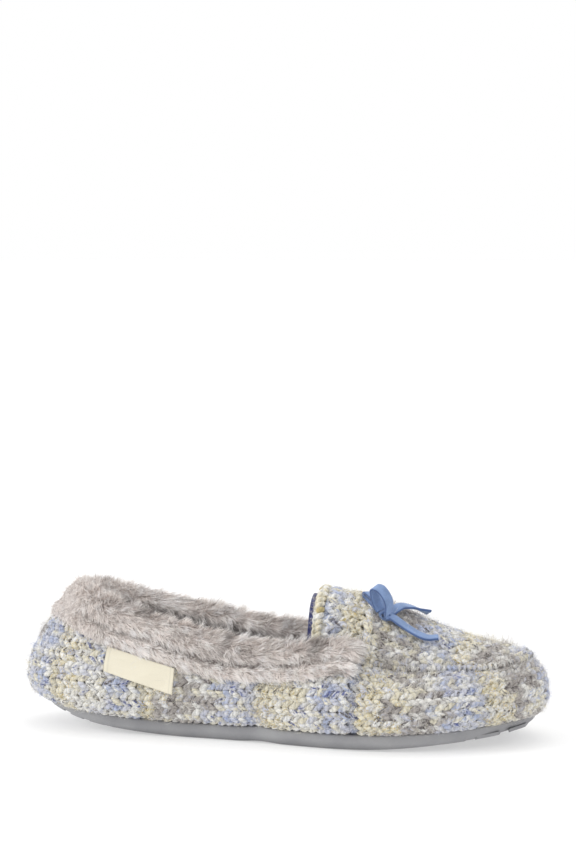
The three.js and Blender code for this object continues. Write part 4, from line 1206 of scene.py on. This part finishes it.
def tongue_line(x, depth, shares):
    """Line across the tongue at a depth under its top face, and its normals."""
    return plug_frame(np.full(len(shares), x), shares, np.full(len(shares), -depth), 0.0)


def along_line(at, run, values):
    """Points or directions of a line, at lengths along it."""
    return np.stack([np.interp(at, run, values[:, k]) for k in range(3)], axis=-1)


# Two strands wound round the tongue's edge: from one to the next, radius of the coil and of a strand.
BINDING_PITCH = 3.0
BINDING_COIL = 1.3
BINDING_YARN = 1.42


def tongue_binding():
    """Rolled edge of the tongue: strands wound round its line."""
    parts = Parts()
    line, normal = tongue_line(TONGUE_X, WALL / 2, eased_shares(200))
    line = line - np.array([BINDING_RADIUS + FIT, 0, 0])
    run = run_length(line)
    at = np.linspace(0, run[-1], int(run[-1] / BINDING_PITCH * 12))
    centre = along_line(at, run, line)
    out = unit(along_line(at, run, normal))
    out[:, 0] = 0
    out = unit(out)
    heelward = np.array([-1.0, 0, 0])
    for phase in (0.0, math.pi):
        angle = 2 * np.pi * at / (2 * BINDING_PITCH) + phase
        coil = BINDING_COIL * (1 + 0.1 * noise(centre, 4.0, 3))
        path = centre + (np.cos(angle) * coil)[:, None] * heelward + (np.sin(angle) * coil)[:, None] * out
        away = unit(path - centre)
        key = np.stack([at, angle, at * 0], axis=-1)
        mixed = scatter(np.floor(at / 2.5), phase)
        colour = np.where((mixed < 0.5)[:, None], linear(CREAM), linear(WHITE))
        colour = np.where((mixed > 0.92)[:, None], linear(GOLD), colour)
        blended = blend_along(colour)
        radius = BINDING_YARN * (1 + 0.1 * noise(key, 2.0, 1))
        plies = (blended, blended, np.full(len(path), 0.4))
        parts.add_yarn(path, away, radius, 0.0, plies, 1.0, 8, 1.0)
        keep_for_fuzz(path[::3], away[::3], colour[::3], np.zeros(len(path[::3])), 0.8)
    return finish_piece(parts.build("tongue_roll"), YARN_PAINT, "binding_knit", "tongue_binding")


tongue_binding()


def tongue_facing():
    """Lining sheet of the tongue, in two layers that show at its free edge."""
    shares = eased_shares(61)[2:-2]
    front = TONGUE_X + (THROAT_X - TONGUE_X) * 0.55
    back_x = TONGUE_X - 2 * BINDING_RADIUS - FIT - FACING_PROUD
    xs = np.linspace(front, back_x, 30)
    under_tongue = WALL + SHEET_GAP
    # Layers: name, depth, thickness, how far the end is drawn in, material, and what it replaces.
    for name, depth, thick, short, material, replaced in (
            ("facing_outer", under_tongue, 0.8, 0.0,
             ("facing_navy", (44, 48, 96), (78, 84, 136)), ["tongue_facing"]),
            ("facing_inner", under_tongue + 0.85, 0.75, 1.0,
             ("facing_lilac", (110, 112, 160), (168, 168, 205)), [])):
        faces = [], []
        for x in xs:
            wave = 0.075 * np.sin(shares * 9 + x * 0.3)
            end = x + short * (x - front) / (back_x - front)
            for lines, down in zip(faces, (depth, depth + thick)):
                lines.append(tongue_line(end, down, shares)[0])
                lines[-1][:, 0] += wave
        piece = build(name, *closed_sheet(np.array(faces[0]), np.array(faces[1])))
        finish_piece(piece, fleece_material(*material), "navy_lining", *replaced)


tongue_facing()

# Insole.

def insole_piece():
    """Padded footbed: a rounded side under a domed top."""
    count, across = 220, 25
    places = place_at_length(GIRTH * np.arange(count) / count)
    profile = [(0.0, 0.0), (0.35, 2.0), (0.2, 3.6), (-0.8, 4.6), (-2.0, 5.0), (-3.2, 4.7), (-4.6, 5.1)]
    rows = []
    for inset, up in profile:
        line, _, _ = wall_point(places, np.interp(up, arc_table(0.0), SHARES), -WALL)
        x, y, nx, ny = outline_at(places)
        # The footbed's side stays inside the wall's inner face at the same height.
        reach = (line[:, 0] - x) * nx + (line[:, 1] - y) * ny
        most = -WALL_INSET - 1.2 * WALL if up < 1 else 4.0
        reach = np.minimum(reach, most) - 2 * FIT + inset
        height = sole_top(x) + FIT + up
        rows.append(np.stack([x + nx * reach, y + ny * reach, height], axis=-1))
    grid = np.array(rows)
    parts = Parts()
    parts.add(grid.reshape(-1, 3), grid_quads(len(profile), count, wrap_columns=True)[:, ::-1])
    for k in (0, len(profile) - 1):
        both, quads = across_ring(grid[k], across)
        both[..., 2] = sole_top(both[..., 0]) + FIT + profile[k][1]
        if k:
            # The footbed's top is domed and a little uneven.
            dome = np.sin(np.pi * np.linspace(0, 1, across))[None, :] ** 0.7
            wide = np.abs(both[:, :1, 1] - both[:, -1:, 1])
            both[..., 2] += 0.9 * dome * np.minimum(wide / 40, 1)
            both[..., 2] += 0.25 * noise(both, 14.0, 2) * dome
        parts.add(both.reshape(-1, 3), quads if k else quads[:, ::-1])
    piece = parts.build("footbed")
    material = fleece_material("footbed_fleece", (92, 92, 116), (142, 142, 166))
    finish_piece(piece, material, "footbed", "insole")
    return piece


insole_piece()

# Label.

# How far the label stands off the wall's face, over the yarn.
LABEL_STAND = 0.9


def label_piece():
    """Bare woven tape folded at its ends, sewn along its top edge."""
    columns, rows = 69, 25
    middle = LABEL_MIDDLE * SOLE_LENGTH
    xs = middle + LABEL_LENGTH * (np.linspace(0, 1, columns) - 0.5)
    tops, unders = [], []
    for x in xs:
        place = float(outer_place(x))
        arc = arc_table(place)
        leg = cuff_leg(float(outline_at(place)[0])) + CUFF_GAP
        down = np.linspace(0, LABEL_HEIGHT, rows)
        t = np.interp(arc[-1] - leg - down, arc, SHARES)
        share = (x - middle) / LABEL_LENGTH
        ripple = 0.25 * np.sin(down * 0.5 + x * 0.35) + 0.3 * smooth(np.abs(share), 0.38, 0.5)
        off = 2 * FIT + LABEL_STAND + ripple
        tops.append(wall_point(np.full(rows, place), t, off + LABEL_THICKNESS)[0])
        unders.append(wall_point(np.full(rows, place), t, off)[0])
    points, quads = closed_sheet(np.array(tops), np.array(unders))
    u = np.repeat((xs - middle)[:, None], 2 * rows, axis=1)
    down = np.linspace(0, LABEL_HEIGHT, rows)
    v = np.tile(np.concatenate([down, down[::-1]]), (columns, 1))
    parts = Parts()
    parts.add(points, quads, uv=np.stack([u, v], axis=-1).reshape(-1, 2))
    piece = parts.build("side_label")
    paint = Paint("woven_tape", 0.8, Sheen_Weight=0.3, Specular_IOR_Level=0.3)
    uv = paint.node("ShaderNodeSeparateXYZ", {0: paint.place("UV")})
    warp = paint.math("SINE", paint.math("MULTIPLY", uv.outputs[0], 2 * math.pi / 0.42))
    weft = paint.math("SINE", paint.math("MULTIPLY", uv.outputs[1], 2 * math.pi / 0.36))
    weave = paint.math("MULTIPLY", warp, weft)
    fold = paint.math("ABSOLUTE", uv.outputs[0], 0.0)
    edge = paint.math("DIVIDE", fold, LABEL_LENGTH / 2)
    base = paint.shaded(rgba((240, 233, 212)), 0.5, weave, (0.0, 0.82), (0.6, 1.05))
    base = paint.shaded(base, 0.7, edge, (0.86, 1.0), (0.9, 0.86), (0.94, 1.0))
    paint.join(base, "Base Color")
    paint.join(paint.bump(weave, 0.4, 0.0002), "Normal")
    return finish_piece(piece, paint.material, "woven_label", "label")


label_piece()

# Fibres of the knitting.

def blades(root, direction, bend, length, width, root_paint, tip_paint, segments, out):
    """Tapered flat hairs: points, quads, triangles and colours. Their faces turn to out."""
    count = len(root)
    away = out + 0.3 * RANDOM.normal(size=(count, 3))
    side = unit(np.cross(direction, unit(away)))
    ts = np.linspace(0, 1, segments + 1)
    points = (root[:, None] + direction[:, None] * (length[:, None] * ts)[..., None]
              + bend[:, None] * (length[:, None] * ts * ts)[..., None])
    half = (width[:, None] * (1 - 0.75 * ts) / 2)[..., None]
    left = points[:, :-1] - side[:, None] * half[:, :-1]
    right = points[:, :-1] + side[:, None] * half[:, :-1]
    body = np.stack([left, right], axis=2).reshape(count, 2 * segments, 3)
    verts = np.concatenate([body, points[:, -1:]], axis=1)
    per = 2 * segments + 1
    base = np.arange(count)[:, None] * per
    quads = np.concatenate([base + np.array([[2 * k, 2 * k + 1, 2 * k + 3, 2 * k + 2]])
                            for k in range(segments - 1)])
    tris = base + np.array([[2 * segments - 2, 2 * segments - 1, 2 * segments]])
    tone = np.repeat(ts, 2)[:-1][None, :, None]
    paint = root_paint[:, None] * (1 - tone) + tip_paint[:, None] * tone
    return verts.reshape(-1, 3), quads, tris, paint.reshape(-1, 3)


# Loose fibres on each kept point of a yarn, and their width.
FIBRES_EACH = 6
FIBRE_WIDTH = 0.13


def knit_fuzz():
    """Loose fibres that stand off the yarns."""
    roots, normals, paint, longer = (np.concatenate(kept) for kept in FUZZ.values())
    pick = np.repeat(np.arange(len(roots)), FIBRES_EACH)
    count = len(pick)
    jitter = RANDOM.normal(size=(count, 3))
    direction = unit(normals[pick] * 0.75 + 0.75 * jitter)
    below = np.sum(direction * normals[pick], axis=1, keepdims=True)
    direction = unit(np.where(below < 0.05, direction - 1.6 * below * normals[pick], direction))
    bend = 0.5 * RANDOM.normal(size=(count, 3))
    length = RANDOM.uniform(1.0, 3.2, count) * longer[pick]
    width = np.full(count, FIBRE_WIDTH)
    light = np.clip(paint[pick] * 1.04 + 0.03, 0, 1)
    start = roots[pick] + 0.7 * RANDOM.normal(size=(count, 3))
    # No fibre hangs over the sole.
    tip = start + (direction + bend) * length[:, None]
    clear = np.minimum(tip[:, 2], start[:, 2]) > sole_top(start[:, 0]) - 0.5
    start, direction, bend = start[clear], direction[clear], bend[clear]
    length, width, light = length[clear], width[clear], light[clear]
    verts, quads, tris, colours = blades(start, direction, bend, length, width, light, light, 2,
                                         normals[pick][clear])
    piece = build("knit_fibres", verts, quads, tris, colours)
    return finish_piece(piece, FIBRE_PAINT, "knit")


knit_fuzz()

# Fur cuff.

def cuff_section(place):
    """Lining side and pile side of the cuff at one place, over its fold."""
    x = float(outline_at(place)[0])
    behind_tongue = TONGUE_X - FACING_PROUD - x
    open_share = float(smooth(behind_tongue, 0.02 * SOLE_LENGTH, 0.12 * SOLE_LENGTH))
    inside = 2 + CUFF_INSIDE * float(smooth(behind_tongue, 0.02 * SOLE_LENGTH, 0.3 * SOLE_LENGTH))
    arc = arc_table(place)
    backs, piles = [], []
    for face, reach, deep in CUFF_FOLD:
        if face == "edge":
            top, normal, rising = wall_point(place, 1.0)
            low, _, _ = wall_point(place, 1.0, -WALL)
            point = top + (low - top) * reach
            away = rising
        else:
            leg = cuff_leg(x) if face == "outer" else inside
            t = float(np.interp(arc[-1] - reach * leg, arc, SHARES))
            point, normal, rising = wall_point(place, t, 0.0 if face == "outer" else -WALL)
            away = normal if face == "outer" else -normal
            if reach == 0:
                away = unit(away + rising)
        depth = CUFF_DEPTH * deep * (1.0 if face == "outer" else CUFF_SLIM + (1 - CUFF_SLIM) * open_share)
        gap = 1.4 * CUFF_GAP if reach == 0 else CUFF_GAP
        backs.append(point + away * gap)
        piles.append(point + away * (gap + depth))
    return np.array(backs), np.array(piles)


# Size of a tuft of hairs that lean together.
TUFT = 3.6

# Where the crease runs between the two rolls of the outer leg, as a share of the fold.
CREASE = 0.25


# Hairs: their reach past half of the pile, widths from and to, the share on the cuff's front ends, and
# their colours in 8-bit sRGB.
HAIR_REACH = 1.9
HAIR_WIDTHS = (0.24, 0.4)
ON_FRONT_ENDS = 0.05
HAIR_TIP = (255, 250, 246)
HAIR_DARK = (118, 102, 100)
HAIR_ROOT = (232, 221, 215)


def cuff_grid(count, fine):
    """Lining and pile points of the whole cuff, from one front end round the heel to the other."""
    start = float(length_at_inner(THROAT_X - CUFF_BACK_OFF)) - GIRTH
    stop = float(length_at_outer(THROAT_X - CUFF_BACK_OFF))
    backs, piles = [], []
    for length in np.linspace(start, stop, count):
        back_line, pile_line = cuff_section(float(place_at_length(length)))
        backs.append(smooth_path(back_line, fine))
        piles.append(smooth_path(pile_line, fine))
    return np.array(backs), np.array(piles)


CUFF_BACK, CUFF_PILE = cuff_grid(190, 6)


def cuff_base():
    """Backing cloth of the fur with its short dense underpile."""
    under = CUFF_BACK + 0.5 * (CUFF_PILE - CUFF_BACK)
    under = under + unit(CUFF_PILE - CUFF_BACK) * (0.35 * noise(under, 6.0, 5))[..., None]
    piece = build("fur_backing", *closed_sheet(CUFF_BACK, under))
    material = fleece_material("fur_underpile", (182, 172, 167), (226, 217, 211))
    return finish_piece(piece, material, "faux_fur", "collar_cuff")


cuff_base()


def fur(name, count, seed):
    """Hairs over the cuff's pile side: dark at the root, pale at the tip, laid and clumped, with painted
    shade along the crease, in patches and inside the shoe.
    """
    rng = np.random.default_rng(seed)
    rows, columns = CUFF_PILE.shape[:2]
    # More hairs where the grid's cells are larger.
    cell = np.linalg.norm(np.cross(CUFF_PILE[1:, :-1] - CUFF_PILE[:-1, :-1],
                                   CUFF_PILE[:-1, 1:] - CUFF_PILE[:-1, :-1]), axis=-1)
    chance = cell.ravel() / cell.sum()
    chosen = rng.choice(len(chance), size=count, p=chance)
    i, k = np.divmod(chosen, columns - 1)
    a1 = rng.random(count)[:, None]
    b1 = rng.random(count)[:, None]

    def sample(grid):
        return ((grid[i, k] * (1 - a1) + grid[i + 1, k] * a1) * (1 - b1)
                + (grid[i, k + 1] * (1 - a1) + grid[i + 1, k + 1] * a1) * b1)

    # A few hairs stand on the cuff's two front ends, and face forward.
    ends = rng.random(count) < ON_FRONT_ENDS
    front = rng.random(count) < 0.5
    i = np.where(ends, np.where(front, rows - 2, 0), i)
    a1 = np.where(ends[:, None], np.where(front[:, None], 1.0, 0.0), a1)
    base = sample(CUFF_BACK)
    pile = sample(CUFF_PILE)
    depth = np.linalg.norm(pile - base, axis=1)
    out = unit(pile - base)
    down = unit(CUFF_PILE[i, np.maximum(k - 1, 0)] - CUFF_PILE[i, np.minimum(k + 1, columns - 1)])
    ahead = unit(CUFF_PILE[i + 1, k] - CUFF_PILE[i, k])
    fold = (k + b1[:, 0]) / (columns - 1)
    # On the outer leg the nap runs down, and inside it runs down into the shoe.
    turn = np.where(fold < 0.5, 1.0, -1.0) * smooth(np.abs(fold - 0.55), 0.03, 0.2)
    rim = ahead * np.where(base[:, 1:2] < 0, 1.0, -1.0)
    flow = (0.35 * noise(base, 22.0, 11) + 0.95 - 0.55 * smooth(-base[:, 0], 70.0, 100.0))[:, None] * rim
    clump_cell = np.floor(base / TUFT + 0.6 * noise(base, 7.0, 3)[:, None])
    swirl = np.stack([scatter(*clump_cell.T, s) - 0.5 for s in (1, 2, 3)], axis=-1)
    centre = (clump_cell + 0.5 - 0.6 * noise(base, 7.0, 3)[:, None]) * TUFT
    gather = (centre - base) / TUFT
    gather = gather - out * np.sum(gather * out, axis=1, keepdims=True)
    lay = down * turn[:, None] * 0.5 + flow + 0.7 * swirl
    forward = ahead * np.where(front, 1.0, -1.0)[:, None]
    direction = out * 0.42 + 0.75 * lay + 0.45 * gather + 0.22 * rng.normal(size=(count, 3))
    direction = np.where(ends[:, None], forward * 0.8 + 0.35 * out + 0.4 * lay, direction)
    direction = unit(direction)
    bend = 0.3 * lay + 0.3 * gather + 0.1 * rng.normal(size=(count, 3))
    tuft = noise(base, 5.0, 21)
    length = (depth * 0.5 + HAIR_REACH) * (1 + 0.14 * tuft) * rng.uniform(0.7, 1.15, count)
    width = rng.uniform(*HAIR_WIDTHS, count)
    heel = smooth(-base[:, 0], 88.0, 104.0)
    root_depth = np.where(ends, rng.uniform(0.0, 0.8, count), 0.5 - 0.3 * heel) * depth
    length = length * (1 - 0.2 * heel)
    start = base + out * root_depth[:, None]
    # The crease runs between the two rolls; hairs there are shorter and darkened as painted shade, as are
    # random patches.
    wander = CREASE + 0.025 * noise(np.stack([base[:, 0], base[:, 1], base[:, 1] * 0], axis=-1), 15.0, 41)
    crease = np.exp(-((fold - wander) / 0.028) ** 2)
    patch = noise(base, 11.0, 31) + 0.6 * noise(base, 4.0, 33)
    x = base[:, 0]
    # Painted shade: a spot on the outer side near x = -16 mm where the crease shade and the dark hairs are
    # strongest.
    crease_shade_spot = np.exp(-((x + 16.0) / 26.0) ** 2) * (base[:, 1] < 0)
    creased = crease * (0.6 + 0.6 * smooth(patch + crease_shade_spot, 0.0, 0.7))
    shaded = np.clip(0.75 * smooth(patch, 0.3, 1.0) + creased, 0, 1)
    tuft_tone = scatter(*clump_cell.T, 9)[:, None]
    tip = linear(HAIR_TIP)[None] * (0.9 + 0.28 * tuft_tone + 0.05 * rng.normal(size=(count, 1)))
    tip = tip * (1 - 0.4 * shaded)[:, None]
    length = length * (1 - 0.4 * crease)
    # A few hairs have dark tips of their own; more of them where the painted shade falls.
    dark = rng.random(count) < 0.06 + 0.5 * shaded * (0.5 + 0.5 * crease_shade_spot)
    tip[dark] = linear(HAIR_DARK)
    root = linear(HAIR_ROOT)[None] * np.ones((count, 1)) * (1 + 0.08 * rng.normal(size=(count, 1)))
    root = root * (1 - 0.6 * shaded)[:, None]
    # The nap ends inside the shoe in shade.
    far_wall = smooth(base[:, 1], -5.0, 10.0)
    inside = smooth(fold, 0.74 - 0.08 * far_wall, 0.93 - 0.13 * far_wall)[:, None]
    tip = tip * (1 - 0.62 * inside)
    root = root * (1 - 0.75 * inside)
    facing = np.where(ends[:, None], forward, out)
    verts, quads, tris, colours = blades(start, direction, bend, length, width, root,
                                         np.clip(tip, 0, 1), 3, facing)
    piece = build(name, verts, quads, tris, np.clip(colours, 0, 1))
    return finish_piece(piece, FUR_PAINT, "faux_fur")


# Hairs in each of the two pieces that the fur is made in.
FUR_HAIRS = 38000

fur("fur_a", FUR_HAIRS, 5)
fur("fur_b", FUR_HAIRS, 6)

# Floor and light.

# Half the floor's width, in metres.
FLOOR_REACH = 30


def floor_piece():
    """Pale floor that only takes a faint contact shadow."""
    mesh = bpy.data.meshes.new("floor")
    corners = [(x * FLOOR_REACH, y * FLOOR_REACH, 0) for x, y in ((-1, -1), (1, -1), (1, 1), (-1, 1))]
    mesh.from_pydata(corners, [], [(0, 1, 2, 3)])
    floor = bpy.data.objects.new("floor", mesh)
    bpy.context.scene.collection.objects.link(floor)
    paint = Paint("floor_paint", 0.9, Emission_Strength=0.45)
    base = paint.ramp(paint.noise(3, 2, 0.5), [(0.3, grey(0.53)), (0.7, grey(0.54))])
    paint.join(base, "Base Color")
    mesh.materials.append(paint.material)


def light(name, place, aim, size, power):
    data = bpy.data.lights.new(name, "AREA")
    data.shape = "DISK"
    data.size = size
    data.energy = power
    lamp = bpy.data.objects.new(name, data)
    lamp.location = place
    lamp.rotation_euler = (Vector(aim) - Vector(place)).to_track_quat("-Z", "Y").to_euler()
    bpy.context.scene.collection.objects.link(lamp)


floor_piece()
light("key", (-1.7, -1.0, 1.1), (-0.03, 0, 0.03), 0.9, 13.0)
light("fill", (1.2, -0.9, 0.8), (0, 0, 0.03), 1.2, 0.2)
light("top", (0.1, 0.5, 1.6), (0, 0, 0.03), 1.2, 4.0)

world = bpy.data.worlds.new("studio")
world.use_nodes = True
background = world.node_tree.nodes["Background"]
background.inputs["Color"].default_value = (1.0, 1.0, 1.0, 1.0)
background.inputs["Strength"].default_value = 1.0
bpy.context.scene.world = world
bpy.context.scene.view_settings.view_transform = "Standard"
